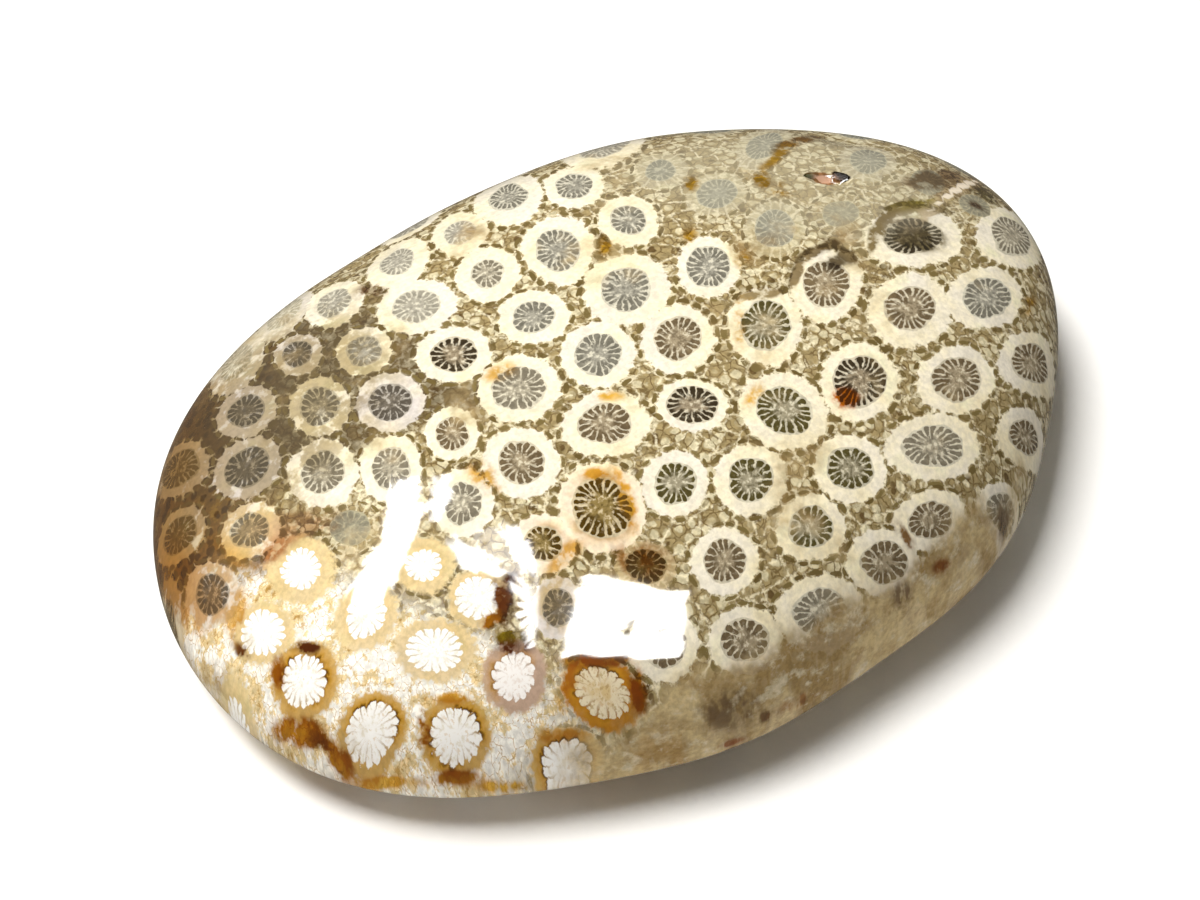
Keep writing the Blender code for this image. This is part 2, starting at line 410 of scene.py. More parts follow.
CUPS = (
    # Along the far edge, left to right
    Cup(x=178, y=468, long=25, short=17, tilt_deg=-35, wall=9, kind=Kind.EARTHY),
    Cup(x=236, y=361, long=25, short=12, tilt_deg=-50, wall=12, kind=Kind.BUFF),
    Cup(x=284, y=313, long=26, short=9, tilt_deg=-38, wall=9, kind=Kind.BUFF),
    Cup(x=334, y=302, long=21, short=13, tilt_deg=-30, wall=12, kind=Kind.PLAIN),
    Cup(x=397, y=261, long=21, short=13, tilt_deg=-32, wall=14, kind=Kind.PLAIN),
    Cup(x=459, y=232, long=17, short=13, tilt_deg=-20, wall=12, kind=Kind.PLAIN),
    Cup(x=508, y=196, long=21, short=15, tilt_deg=-20, wall=15, kind=Kind.GREY),
    Cup(x=574, y=185, long=20, short=13, tilt_deg=-3, wall=11, kind=Kind.GREY),
    Cup(x=604, y=147, long=33, short=10, tilt_deg=-17, wall=11, kind=Kind.PLAIN),
    Cup(x=660, y=170, long=18, short=10, tilt_deg=-5, wall=10, kind=Kind.VEILED),
    Cup(x=717, y=193, long=22, short=14, tilt_deg=-15, wall=9, kind=Kind.VEILED),
    Cup(x=765, y=144, long=20, short=13, tilt_deg=-20, wall=9, kind=Kind.VEILED),
    Cup(x=868, y=160, long=20, short=13, tilt_deg=5, wall=9, kind=Kind.VEILED),
    Cup(x=775, y=228, long=21, short=20, tilt_deg=0, wall=9, kind=Kind.VEILED),
    Cup(x=840, y=213, long=20, short=12, tilt_deg=0, wall=9, kind=Kind.GHOST),
    Cup(x=928, y=182, long=20, short=12, tilt_deg=20, wall=10, kind=Kind.GHOST),
    Cup(x=975, y=205, long=20, short=9, tilt_deg=30, wall=10, kind=Kind.GHOST),
    Cup(x=1012, y=235, long=24, short=20, tilt_deg=25, wall=13, kind=Kind.SOFT),
    # Second row
    Cup(x=178, y=535, long=24, short=14, tilt_deg=-50, wall=9, kind=Kind.EARTHY),
    Cup(x=246, y=411, long=23, short=15, tilt_deg=-25, wall=11, kind=Kind.SMOKY),
    Cup(x=297, y=354, long=16, short=13, tilt_deg=-15, wall=9, kind=Kind.SMOKY),
    Cup(x=364, y=350, long=20, short=15, tilt_deg=-15, wall=10, kind=Kind.PLAIN),
    Cup(x=416, y=306, long=29, short=15, tilt_deg=-8, wall=14, kind=Kind.PLAIN),
    Cup(x=487, y=273, long=18, short=14, tilt_deg=-10, wall=15, kind=Kind.SOFT),
    Cup(x=558, y=249, long=23, short=23, tilt_deg=0, wall=15, kind=Kind.GREY),
    Cup(x=628, y=220, long=20, short=15, tilt_deg=10, wall=12, kind=Kind.GREY),
    Cup(x=708, y=266, long=23, short=22, tilt_deg=0, wall=10, kind=Kind.GREY),
    Cup(x=826, y=284, long=24, short=25, tilt_deg=0, wall=13, kind=Kind.TAN),
    Cup(x=914, y=236, long=32, short=16, tilt_deg=3, wall=17, kind=Kind.CRISP),
    Cup(x=987, y=297, long=24, short=21, tilt_deg=15, wall=12, kind=Kind.GREY),
    # Third row
    Cup(x=247, y=467, long=27, short=18, tilt_deg=-35, wall=12, kind=Kind.SMOKY),
    Cup(x=319, y=406, long=21, short=20, tilt_deg=-20, wall=11, kind=Kind.SOFT),
    Cup(x=390, y=402, long=24, short=18, tilt_deg=-10, wall=12, kind=Kind.SMOKY),
    Cup(x=454, y=354, long=25, short=17, tilt_deg=-5, wall=13, kind=Kind.CRISP),
    Cup(x=533, y=317, long=24, short=15, tilt_deg=-5, wall=13, kind=Kind.GREY),
    Cup(x=626, y=289, long=27, short=21, tilt_deg=-8, wall=17, kind=Kind.GREY),
    Cup(x=678, y=338, long=24, short=22, tilt_deg=-15, wall=14, kind=Kind.TAN),
    Cup(x=765, y=325, long=24, short=27, tilt_deg=0, wall=14, kind=Kind.OLIVE),
    Cup(x=911, y=309, long=26, short=22, tilt_deg=0, wall=16, kind=Kind.TAN),
    Cup(x=957, y=379, long=25, short=23, tilt_deg=0, wall=13, kind=Kind.TAN),
    Cup(x=1032, y=363, long=22, short=21, tilt_deg=0, wall=13, kind=Kind.TAN),
    # Fourth row
    Cup(x=250, y=530, long=23, short=17, tilt_deg=-25, wall=10, kind=Kind.GREY),
    Cup(x=322, y=473, long=23, short=22, tilt_deg=-30, wall=14, kind=Kind.SOFT),
    Cup(x=390, y=468, long=19, short=22, tilt_deg=0, wall=13, kind=Kind.SOFT),
    Cup(x=452, y=433, long=18, short=17, tilt_deg=0, wall=10, kind=Kind.TAN),
    Cup(x=519, y=388, long=28, short=21, tilt_deg=-8, wall=14, kind=Kind.SOFT),
    Cup(x=598, y=354, long=25, short=21, tilt_deg=0, wall=14, kind=Kind.GREY),
    Cup(x=606, y=423, long=29, short=20, tilt_deg=-5, wall=15, kind=Kind.TAN),
    Cup(x=692, y=405, long=28, short=18, tilt_deg=5, wall=9, kind=Kind.CRISP),
    Cup(x=784, y=410, long=31, short=22, tilt_deg=30, wall=16, kind=Kind.OLIVE),
    Cup(x=860, y=381, long=27, short=27, tilt_deg=0, wall=13, kind=Kind.CRISP),
    Cup(x=934, y=446, long=32, short=21, tilt_deg=12, wall=15, kind=Kind.SOFT),
    Cup(x=1025, y=436, long=17, short=20, tilt_deg=0, wall=13, kind=Kind.TAN),
    # Fifth row
    Cup(x=521, y=462, long=24, short=22, tilt_deg=10, wall=15, kind=Kind.TAN),
    Cup(x=463, y=503, long=18, short=24, tilt_deg=0, wall=13, kind=Kind.SOFT),
    Cup(x=602, y=507, long=33, short=29, tilt_deg=50, wall=15, kind=Kind.AMBER),
    Cup(x=675, y=483, long=22, short=23, tilt_deg=0, wall=12, kind=Kind.OLIVE),
    Cup(x=750, y=479, long=23, short=23, tilt_deg=0, wall=14, kind=Kind.OLIVE),
    Cup(x=850, y=468, long=24, short=22, tilt_deg=30, wall=13, kind=Kind.OLIVE),
    Cup(x=931, y=519, long=23, short=20, tilt_deg=0, wall=13, kind=Kind.TAN),
    Cup(x=1003, y=512, long=32, short=15, tilt_deg=98, wall=12, kind=Kind.SOFT),
    Cup(x=350, y=527, long=22, short=18, tilt_deg=0, wall=8, kind=Kind.GHOST),
    Cup(x=542, y=543, long=21, short=17, tilt_deg=20, wall=13, kind=Kind.AMBER),
    Cup(x=646, y=566, long=22, short=17, tilt_deg=20, wall=9, kind=Kind.RUSTY),
    Cup(x=725, y=560, long=22, short=23, tilt_deg=0, wall=13, kind=Kind.TAN),
    Cup(x=811, y=527, long=23, short=22, tilt_deg=0, wall=13, kind=Kind.OLIVE),
    Cup(x=884, y=562, long=22, short=24, tilt_deg=0, wall=14, kind=Kind.TAN),
    # Near side
    Cup(x=211, y=594, long=25, short=15, tilt_deg=100, wall=11, kind=Kind.SMOKY),
    Cup(x=558, y=607, long=21, short=16, tilt_deg=90, wall=12, kind=Kind.SMOKY),
    Cup(x=664, y=644, long=24, short=24, tilt_deg=0, wall=13, kind=Kind.TAN),
    Cup(x=745, y=640, long=24, short=24, tilt_deg=0, wall=13, kind=Kind.TAN),
    Cup(x=820, y=612, long=27, short=26, tilt_deg=20, wall=16, kind=Kind.SOFT),
    # The chalky patch at the near left
    Cup(x=300, y=568, long=22, short=20, tilt_deg=95, wall=15, kind=Kind.CHALK),
    Cup(x=424, y=565, long=19, short=17, tilt_deg=0, wall=13, kind=Kind.CHALK),
    Cup(x=478, y=597, long=23, short=22, tilt_deg=0, wall=8, kind=Kind.CHALK),
    Cup(x=262, y=633, long=24, short=24, tilt_deg=0, wall=9, kind=Kind.CHALK),
    Cup(x=304, y=680, long=33, short=20, tilt_deg=95, wall=13, kind=Kind.CHALK_OCHRE),
    Cup(x=435, y=650, long=31, short=23, tilt_deg=0, wall=11, kind=Kind.CHALK),
    Cup(x=370, y=731, long=43, short=22, tilt_deg=92, wall=12, kind=Kind.CHALK_OCHRE),
    Cup(x=455, y=734, long=37, short=24, tilt_deg=85, wall=12, kind=Kind.CHALK_OCHRE),
    Cup(x=514, y=676, long=27, short=21, tilt_deg=95, wall=12, kind=Kind.CHALK_ROSE),
    Cup(x=603, y=692, long=33, short=22, tilt_deg=45, wall=13, kind=Kind.CHALK_AMBER),
    Cup(x=567, y=764, long=26, short=24, tilt_deg=0, wall=12, kind=Kind.CHALK_OCHRE),
)


class Zone(Enum):
    """What a patch of the stone between and over the cups is like."""

    CHALK = 0
    BROWN = 1
    FOG = 2
    VEIL = 3
    SOOT = 4


class Patch(NamedTuple):
    """A soft-edged oval patch, in pixels of the photograph.

    Attributes:
        x: Its middle, from the left.
        y: Its middle, from the top.
        long: Half its length, where it has faded to a third.
        short: Half its width, likewise.
        tilt_deg: Turn of its length, clockwise from the photograph's x direction.
        zone: What it holds.
        strength: How strong it is at its middle.
    """

    x: float
    y: float
    long: float
    short: float
    tilt_deg: float
    zone: Zone
    strength: float = 1.0


PATCHES = (
    Patch(x=300, y=640, long=110, short=70, tilt_deg=35, zone=Zone.CHALK, strength=1.6),
    Patch(x=430, y=700, long=130, short=90, tilt_deg=15, zone=Zone.CHALK, strength=1.8),
    Patch(x=186, y=490, long=110, short=60, tilt_deg=105, zone=Zone.BROWN, strength=2.0),
    Patch(x=224, y=562, long=52, short=38, tilt_deg=60, zone=Zone.BROWN, strength=1.3),
    Patch(x=212, y=420, long=56, short=40, tilt_deg=-50, zone=Zone.BROWN, strength=1.5),
    Patch(x=265, y=345, long=70, short=22, tilt_deg=-42, zone=Zone.BROWN, strength=0.9),
    Patch(x=440, y=388, long=62, short=24, tilt_deg=5, zone=Zone.SOOT, strength=1.4),
    Patch(x=330, y=432, long=90, short=22, tilt_deg=-12, zone=Zone.SOOT, strength=1.3),
    Patch(x=290, y=390, long=130, short=58, tilt_deg=-26, zone=Zone.SOOT, strength=2.0),
    Patch(x=285, y=335, long=62, short=26, tilt_deg=-40, zone=Zone.SOOT, strength=1.2),
    # A thin dark arc along the far side of a ring
    Patch(x=800, y=266, long=34, short=9, tilt_deg=-42, zone=Zone.SOOT, strength=0.6),
    Patch(x=760, y=160, long=140, short=45, tilt_deg=0, zone=Zone.VEIL, strength=1.3),
    Patch(x=860, y=200, long=110, short=45, tilt_deg=12, zone=Zone.VEIL, strength=1.1),
    Patch(x=690, y=735, long=120, short=46, tilt_deg=-18, zone=Zone.FOG, strength=1.8),
    Patch(x=838, y=668, long=130, short=46, tilt_deg=-33, zone=Zone.FOG, strength=1.8),
    Patch(x=955, y=578, long=90, short=34, tilt_deg=-52, zone=Zone.FOG, strength=1.5),
    Patch(x=222, y=704, long=46, short=14, tilt_deg=55, zone=Zone.FOG, strength=0.6),
    Patch(x=222, y=655, long=70, short=30, tilt_deg=62, zone=Zone.CHALK, strength=1.3),
)


class Dab(NamedTuple):
    """A soft-edged oval dab of colour, in pixels of the photograph: most are the stone's own stains, and the
    near-black one in the pit is painted shade.

    Attributes:
        x: Its middle, from the left.
        y: Its middle, from the top.
        long: Half its length, where it has faded to a third.
        short: Half its width, likewise.
        tilt_deg: Turn of its length, clockwise from the photograph's x direction.
        colour: Its colour.
        strength: How strong it is at its middle.
    """

    x: float
    y: float
    long: float
    short: float
    tilt_deg: float
    colour: Colour
    strength: float = 1.0


GOLD = paint(186, 150, 54)
AMBER = paint(220, 176, 74)
OCHRE = paint(214, 172, 92)
DARK_AMBER = paint(166, 112, 20)
RED_BROWN = paint(98, 54, 20)
SMOKE = paint(168, 156, 140)

DABS = (
    # The near left, round the chalky cups
    Dab(x=298, y=731, long=24, short=15, tilt_deg=10, colour=DARK_AMBER, strength=1.5),
    Dab(x=320, y=742, long=8, short=8, tilt_deg=0, colour=RED_BROWN, strength=1.0),
    Dab(x=304, y=648, long=18, short=6, tilt_deg=0, colour=RED_BROWN, strength=1.2),
    Dab(x=278, y=672, long=7, short=18, tilt_deg=0, colour=DARK_AMBER, strength=1.0),
    Dab(x=340, y=762, long=12, short=22, tilt_deg=-25, colour=DARK_AMBER, strength=1.2),
    Dab(x=385, y=782, long=28, short=7, tilt_deg=0, colour=AMBER, strength=1.2),
    Dab(x=424, y=730, long=6, short=26, tilt_deg=0, colour=DARK_AMBER, strength=1.1),
    Dab(x=455, y=777, long=26, short=9, tilt_deg=0, colour=DARK_AMBER, strength=1.1),
    Dab(x=455, y=698, long=22, short=6, tilt_deg=0, colour=AMBER, strength=1.0),
    Dab(x=505, y=786, long=24, short=8, tilt_deg=0, colour=AMBER, strength=1.1),
    Dab(x=242, y=652, long=10, short=7, tilt_deg=60, colour=RED_BROWN, strength=0.9),
    Dab(x=504, y=600, long=7, short=22, tilt_deg=-8, colour=RED_BROWN, strength=1.9),
    Dab(x=490, y=622, long=10, short=6, tilt_deg=-20, colour=DARK_AMBER, strength=1.6),
    Dab(x=514, y=646, long=17, short=7, tilt_deg=0, colour=RED_BROWN, strength=1.4),
    Dab(x=512, y=636, long=15, short=5, tilt_deg=0, colour=paint(150, 138, 24), strength=1.2),
    Dab(x=602, y=692, long=20, short=13, tilt_deg=40, colour=paint(232, 214, 180), strength=0.9),
    Dab(x=637, y=690, long=8, short=22, tilt_deg=-10, colour=DARK_AMBER, strength=1.8),
    Dab(x=600, y=659, long=34, short=7, tilt_deg=0, colour=DARK_AMBER, strength=1.5),
    Dab(x=566, y=690, long=8, short=26, tilt_deg=10, colour=AMBER, strength=1.0),
    Dab(x=560, y=735, long=26, short=8, tilt_deg=0, colour=OCHRE, strength=1.0),
    Dab(x=557, y=604, long=22, short=30, tilt_deg=0, colour=paint(216, 198, 160), strength=1.0),
    # The left end
    Dab(x=172, y=470, long=80, short=34, tilt_deg=-75, colour=paint(166, 130, 72), strength=1.1),
    Dab(x=176, y=572, long=40, short=16, tilt_deg=75, colour=paint(184, 132, 54), strength=1.3),
    Dab(x=302, y=525, long=40, short=12, tilt_deg=-5, colour=paint(200, 168, 142), strength=0.9),
    Dab(x=247, y=529, long=32, short=22, tilt_deg=-20, colour=paint(236, 206, 160), strength=0.7),
    Dab(x=209, y=593, long=26, short=30, tilt_deg=0, colour=paint(224, 188, 144), strength=0.9),
    Dab(x=236, y=615, long=7, short=20, tilt_deg=10, colour=OCHRE, strength=1.1),
    Dab(x=228, y=552, long=24, short=8, tilt_deg=35, colour=OCHRE, strength=1.0),
    Dab(x=275, y=548, long=8, short=20, tilt_deg=40, colour=paint(176, 104, 60), strength=0.8),
    # A broad grey darkening over the whole left third, over rings and filling alike
    Dab(x=272, y=410, long=130, short=80, tilt_deg=-40, colour=paint(186, 176, 154), strength=1.2),
    Dab(x=370, y=290, long=12, short=6, tilt_deg=0, colour=RED_BROWN, strength=0.9),
    # The middle
    Dab(x=905, y=536, long=20, short=4, tilt_deg=58, colour=paint(128, 98, 66), strength=1.2),
    Dab(x=512, y=578, long=5, short=14, tilt_deg=15, colour=RED_BROWN, strength=1.0),
    Dab(x=627, y=503, long=7, short=24, tilt_deg=-14, colour=AMBER, strength=1.5),
    Dab(x=600, y=474, long=16, short=7, tilt_deg=0, colour=AMBER, strength=1.3),
    Dab(x=640, y=560, long=34, short=20, tilt_deg=10, colour=DARK_AMBER, strength=0.7),
    Dab(x=566, y=556, long=10, short=22, tilt_deg=40, colour=OCHRE, strength=1.0),
    Dab(x=484, y=478, long=12, short=22, tilt_deg=-45, colour=OCHRE, strength=0.9),
    Dab(x=846, y=398, long=13, short=9, tilt_deg=20, colour=paint(186, 104, 12), strength=1.6),
    Dab(x=754, y=396, long=8, short=18, tilt_deg=35, colour=AMBER, strength=0.7),
    Dab(x=739, y=328, long=6, short=24, tilt_deg=0, colour=OCHRE, strength=0.8),
    Dab(x=605, y=246, long=9, short=12, tilt_deg=0, colour=GOLD, strength=0.9),
    Dab(x=608, y=396, long=22, short=6, tilt_deg=0, colour=AMBER, strength=0.7),
    Dab(x=500, y=372, long=20, short=8, tilt_deg=-20, colour=OCHRE, strength=0.8),
    # The far edge
    Dab(x=770, y=184, long=30, short=9, tilt_deg=25, colour=GOLD, strength=0.8),
    Dab(x=776, y=158, long=20, short=6, tilt_deg=-35, colour=GOLD, strength=0.8),
    Dab(x=800, y=140, long=24, short=4, tilt_deg=-5, colour=paint(140, 104, 40), strength=1.1),
    Dab(x=690, y=184, long=8, short=8, tilt_deg=0, colour=GOLD, strength=1.0),
    Dab(x=690, y=236, long=8, short=10, tilt_deg=0, colour=GOLD, strength=0.9),
    Dab(x=742, y=255, long=9, short=14, tilt_deg=0, colour=GOLD, strength=0.9),
    Dab(x=918, y=204, long=22, short=4, tilt_deg=-5, colour=paint(160, 152, 60), strength=0.9),
    Dab(x=836, y=262, long=13, short=9, tilt_deg=0, colour=paint(104, 94, 78), strength=0.9),
    Dab(x=975, y=205, long=16, short=4, tilt_deg=32, colour=paint(110, 84, 64), strength=0.7),
    Dab(x=905, y=222, long=16, short=8, tilt_deg=0, colour=paint(176, 170, 160), strength=1.0),
    # Thin dark arcs along the far side of several rings
    Dab(x=877, y=232, long=17, short=3.5, tilt_deg=-70, colour=paint(140, 126, 96), strength=1.9),
    Dab(x=892, y=214, long=15, short=3.5, tilt_deg=-38, colour=paint(134, 120, 90), strength=1.9),
    Dab(x=920, y=208, long=26, short=3.5, tilt_deg=4, colour=paint(140, 128, 100), strength=1.8),
    Dab(x=798, y=271, long=19, short=3.5, tilt_deg=-62, colour=paint(144, 130, 104), strength=1.8),
    Dab(x=816, y=251, long=17, short=3.5, tilt_deg=-30, colour=paint(134, 120, 94), strength=1.9),
    Dab(x=846, y=251, long=17, short=3.5, tilt_deg=35, colour=paint(140, 126, 100), strength=1.8),
    Dab(x=756, y=295, long=26, short=3.5, tilt_deg=-8, colour=paint(156, 142, 112), strength=1.7),
    Dab(x=918, y=239, long=26, short=11, tilt_deg=5, colour=paint(120, 112, 88), strength=1.4),
    Dab(x=940, y=178, long=34, short=9, tilt_deg=-8, colour=paint(150, 132, 112), strength=1.4),
    Dab(x=958, y=189, long=24, short=4, tilt_deg=-17, colour=paint(226, 214, 194), strength=5.0),
    Dab(x=986, y=194, long=16, short=6, tilt_deg=35, colour=paint(116, 108, 76), strength=1.2),
    Dab(x=1030, y=305, long=8, short=14, tilt_deg=0, colour=GOLD, strength=0.7),
    # The pit: its pinkish floor, a near-black painted shade in its crevice, and a dark olive tip
    Dab(x=824, y=180, long=9, short=4, tilt_deg=3, colour=paint(186, 142, 112), strength=5.0),
    # Painted shade: the crevice deep in the pit, near black
    Dab(x=841, y=176, long=5, short=3, tilt_deg=15, colour=paint(8, 4, 2), strength=16.0),
    Dab(x=810, y=176, long=4, short=2, tilt_deg=0, colour=paint(60, 62, 30), strength=8.0),
    # The near right side
    Dab(x=730, y=708, long=34, short=24, tilt_deg=-10, colour=SMOKE, strength=0.9),
    Dab(x=903, y=593, long=12, short=15, tilt_deg=0, colour=paint(150, 138, 128), strength=0.9),
    Dab(x=800, y=700, long=22, short=8, tilt_deg=-25, colour=paint(188, 152, 118), strength=0.8),
    Dab(x=768, y=716, long=8, short=5, tilt_deg=-20, colour=paint(120, 92, 66), strength=0.8),
    Dab(x=730, y=743, long=14, short=3, tilt_deg=-15, colour=paint(168, 112, 84), strength=0.9),
    Dab(x=941, y=566, long=10, short=7, tilt_deg=-40, colour=paint(170, 118, 66), strength=0.9),
    Dab(x=1003, y=520, long=34, short=10, tilt_deg=98, colour=paint(150, 134, 116), strength=0.7),
)


class Spot(NamedTuple):
    """An oval on the coral's plan: its middle, and the map that makes it a circle of radius 1 (2 by 2, by rows)."""

    middle: np.ndarray
    to_circle: np.ndarray


class Tube(NamedTuple):
    """A tube of the coral on the plan.

    Attributes:
        spot: Its section: the ring's outer edge is the circle of radius 1.
        inner: Radius of the ring's inner edge in that circle.
        slots: Gaps between its radial plates.
        kind: Its colours and cut.
    """

    spot: Spot
    inner: float
    slots: int
    kind: Kind

    def radius(self) -> float:
        """Mean radius of the ring's outer edge, in metres."""
        return 1.0 / math.sqrt(abs(np.linalg.det(self.spot.to_circle)))


@dataclass
class CoralPlan:
    """The coral's plan: every tube's section on a level plane, spread from a point far below the stone.

    Attributes:
        view: Camera that the pixels belong to.
        form: The stone's skin.
        spread_depth: Depth below the resting surface of the point that the tubes spread from.
        level: Height of the plane that the plan is drawn on.
        filler_radii: Smallest and largest ring of the tubes that fill what the camera doesn't see.
        filler_gap: Least distance between those rings.
        filler_tries: Places tried for them.
        filler_seed: Start of their random draws.
        filler_inner: Radius of their rings' inner edge, as a share of the outer.
        slot_width: Width of a gap between radial plates, at the ring.
        slot_range: Fewest and most gaps in a cup.
    """

    view: PhotoView
    form: StoneForm
    spread_depth: float = 160.0 * MM
    level: float = 15.0 * MM
    filler_radii: tuple[float, float] = (1.9 * MM, 2.6 * MM)
    filler_gap: float = 0.2 * MM
    filler_tries: int = 9000
    filler_seed: int = 7
    filler_inner: float = 0.64
    slot_width: float = 0.56 * MM
    slot_range: tuple[int, int] = (14, 24)

    def on_plan(self, points: np.ndarray) -> np.ndarray:
        """Where points of the stone fall on the plan.

        Args:
            points: Points in metres, one to a row.

        Returns:
            Two coordinates in metres to a row.
        """
        scale = (self.spread_depth + self.level) / (self.spread_depth + points[:, 2])
        return points[:, :2] * scale[:, None]

    def hit(self, tree: BVHTree, x: float, y: float) -> np.ndarray | None:
        """Where a pixel's ray meets the stone, on the plan.

        Args:
            tree: The stone's faces.
            x: Pixels from the photograph's left edge.
            y: Pixels from its top edge.

        Returns:
            The place on the plan, or None where the ray misses.
        """
        place = tree.ray_cast(self.view.place(), self.view.ray(x, y))[0]
        return None if place is None else self.on_plan(np.array([place]))[0]

    def spot(self, tree: BVHTree, x: float, y: float, long: float, short: float, tilt_deg: float) -> Spot:
        """Carries an oval from the photograph to the plan.

        Args:
            tree: The stone's faces.
            x: Its middle from the left, in pixels.
            y: Its middle from the top.
            long: Half its length.
            short: Half its width.
            tilt_deg: Turn of its length, clockwise.

        Returns:
            The oval on the plan.
        """
        middle = self.hit(tree, x, y)
        radii = []
        for reach, turn_deg in ((long, tilt_deg), (short, tilt_deg + 90.0)):
            dx = reach * math.cos(math.radians(turn_deg))
            dy = reach * math.sin(math.radians(turn_deg))
            for way in (1.0, -1.0, 0.5, -0.5, 0.2, -0.2):
                place = self.hit(tree, x + dx * way, y + dy * way)
                if place is not None:
                    radii.append((place - middle) / way)
                    break
        return Spot(middle, np.linalg.inv(np.array(radii).T))

    def tube(self, spot: Spot, inner: float, kind: Kind) -> Tube:
        """A tube with as many gaps as fit round it.

        Args:
            spot: Its section on the plan.
            inner: Radius of the ring's inner edge, as a share of the outer.
            kind: Its colours and cut.

        Returns:
            The tube.
        """
        outer = Tube(spot, inner, 0, kind).radius()
        fewest, most = self.slot_range
        slots = 2 * round(math.pi * outer * inner / self.slot_width)
        return Tube(spot, inner, min(most, max(fewest, slots)), kind)

    def seen_tubes(self, tree: BVHTree) -> list[Tube]:
        """The tubes whose cups the photograph shows.

        Args:
            tree: The stone's faces.

        Returns:
            The tubes in the order of CUPS.
        """
        tubes = []
        for cup in CUPS:
            long, short = cup.long + cup.wall, cup.short + cup.wall
            spot = self.spot(tree, cup.x, cup.y, long, short, cup.tilt_deg)
            inner = (cup.long / long + cup.short / short) / 2.0
            tubes.append(self.tube(spot, inner, cup.kind))
        return tubes

    def filler_tubes(self, seen: list[Tube]) -> list[Tube]:
        """The tubes that fill the rest of the plan, under what the camera doesn't see.

        Args:
            seen: The tubes that are there already.

        Returns:
            The new ones.
        """
        draw = random.Random(self.filler_seed)
        small, large = self.filler_radii
        fillers: list[Tube] = []
        places = [(tube.spot.middle, tube.radius()) for tube in seen]
        far = self.form.length_radius * 1.15
        for trial in range(self.filler_tries):
            middle = np.array([draw.uniform(-far, far), draw.uniform(-far, far)])
            radius = large + (small - large) * trial / self.filler_tries
            bearing = math.atan2(middle[1], middle[0])
            if np.linalg.norm(middle) > self.form.rim_radius(bearing) * 1.12:
                continue
            if any(np.linalg.norm(middle - at) < radius + other + self.filler_gap for at, other in places):
                continue
            turn = draw.uniform(0.0, math.pi)
            squash = draw.uniform(0.86, 1.0)
            along = np.array([math.cos(turn), math.sin(turn)]) * radius
            across = np.array([-math.sin(turn), math.cos(turn)]) * radius * squash
            spot = Spot(middle, np.linalg.inv(np.array([along, across]).T))
            nearest = min(seen, key=lambda tube: np.linalg.norm(middle - tube.spot.middle))
            fillers.append(self.tube(spot, self.filler_inner, nearest.kind))
            places.append((middle, radius))
        return fillers

    def mark_tubes(self, mesh: bpy.types.Mesh, tubes: list[Tube]) -> None:
        """Writes on each corner of the skin where it lies in the two nearest tubes, and their cut and colours.

        Args:
            mesh: The skin.
            tubes: Every tube.
        """
        points = np.empty(len(mesh.vertices) * 3, dtype=np.float32)
        mesh.vertices.foreach_get("co", points)
        plan = self.on_plan(points.reshape(-1, 3).astype(float))
        corner_vert = np.empty(len(mesh.loops), dtype=np.int32)
        mesh.loops.foreach_get("vertex_index", corner_vert)
        at_corner = plan[corner_vert]
        middles = np.array([t.spot.middle for t in tubes])
        maps = np.array([t.spot.to_circle for t in tubes])
        radii = np.array([t.radius() for t in tubes])
        at_face = at_corner.reshape(-1, 3, 2).mean(axis=1)
        gaps = np.empty((len(at_face), len(tubes)))
        for i, middle in enumerate(middles):
            local = (at_face - middle) @ maps[i].T
            gaps[:, i] = (np.hypot(local[:, 0], local[:, 1]) - 1.0) * radii[i]
        order = np.argsort(gaps, axis=1)[:, :2]
        styles = [t.kind.value for t in tubes]
        seeds = np.array([(i * 0.6180339887) % 1.0 for i in range(len(tubes))])
        tables = {
            "cut": np.array([(s.crisp, s.ringed, s.chalky) for s in styles]),
            "rim": np.array([(t.inner, t.slots, t.kind.value.border) for t in tubes]),
            "slot": np.array([s.slot for s in styles]),
            "core": np.array([s.core for s in styles]),
            "wall": np.array([s.wall for s in styles]),
        }
        for rank, title in enumerate(("near", "next")):
            which = np.repeat(order[:, rank], 3)
            local = np.einsum("nij,nj->ni", maps[which], at_corner - middles[which])
            place = np.column_stack((local, seeds[which]))
            self.write(mesh, f"{title}_place", "CORNER", place)
            for name, table in tables.items():
                self.write(mesh, f"{title}_{name}", "CORNER", table[which])

    def mark_zones(self, mesh: bpy.types.Mesh, tree: BVHTree) -> None:
        """Writes on each point of the skin how strongly each zone lies over it.

        Args:
            mesh: The skin.
            tree: The stone's faces.
        """
        points = np.empty(len(mesh.vertices) * 3, dtype=np.float32)
        mesh.vertices.foreach_get("co", points)
        plan = self.on_plan(points.reshape(-1, 3).astype(float))
        strengths = np.zeros((len(plan), len(Zone)))
        for patch in PATCHES:
            spot = self.spot(tree, patch.x, patch.y, patch.long, patch.short, patch.tilt_deg)
            local = (plan - spot.middle) @ spot.to_circle.T
            strengths[:, patch.zone.value] += patch.strength * np.exp(-(local**2).sum(axis=1))
        colours = np.zeros((len(plan), 3))
        total = np.full(len(plan), 1e-6)
        for dab in DABS:
            spot = self.spot(tree, dab.x, dab.y, dab.long, dab.short, dab.tilt_deg)
            local = (plan - spot.middle) @ spot.to_circle.T
            share = dab.strength * np.exp(-(local**2).sum(axis=1))
            colours += share[:, None] * np.array(dab.colour)
            total += share
        self.write(mesh, "zone_near", "POINT", strengths[:, :3])
        self.write(mesh, "zone_far", "POINT", np.column_stack((strengths[:, 3:], total)))
        self.write(mesh, "dab_colour", "POINT", colours / total[:, None])

    def write(self, mesh: bpy.types.Mesh, name: str, domain: str, values: np.ndarray) -> None:
        """Adds a vector attribute to the skin.

        Args:
            mesh: The skin.
            name: The attribute's name.
            domain: What it is kept on: POINT or CORNER.
            values: Three numbers for each of them.
        """
        attribute = mesh.attributes.new(name, "FLOAT_VECTOR", domain)
        attribute.data.foreach_set("vector", values.astype(np.float32).ravel())


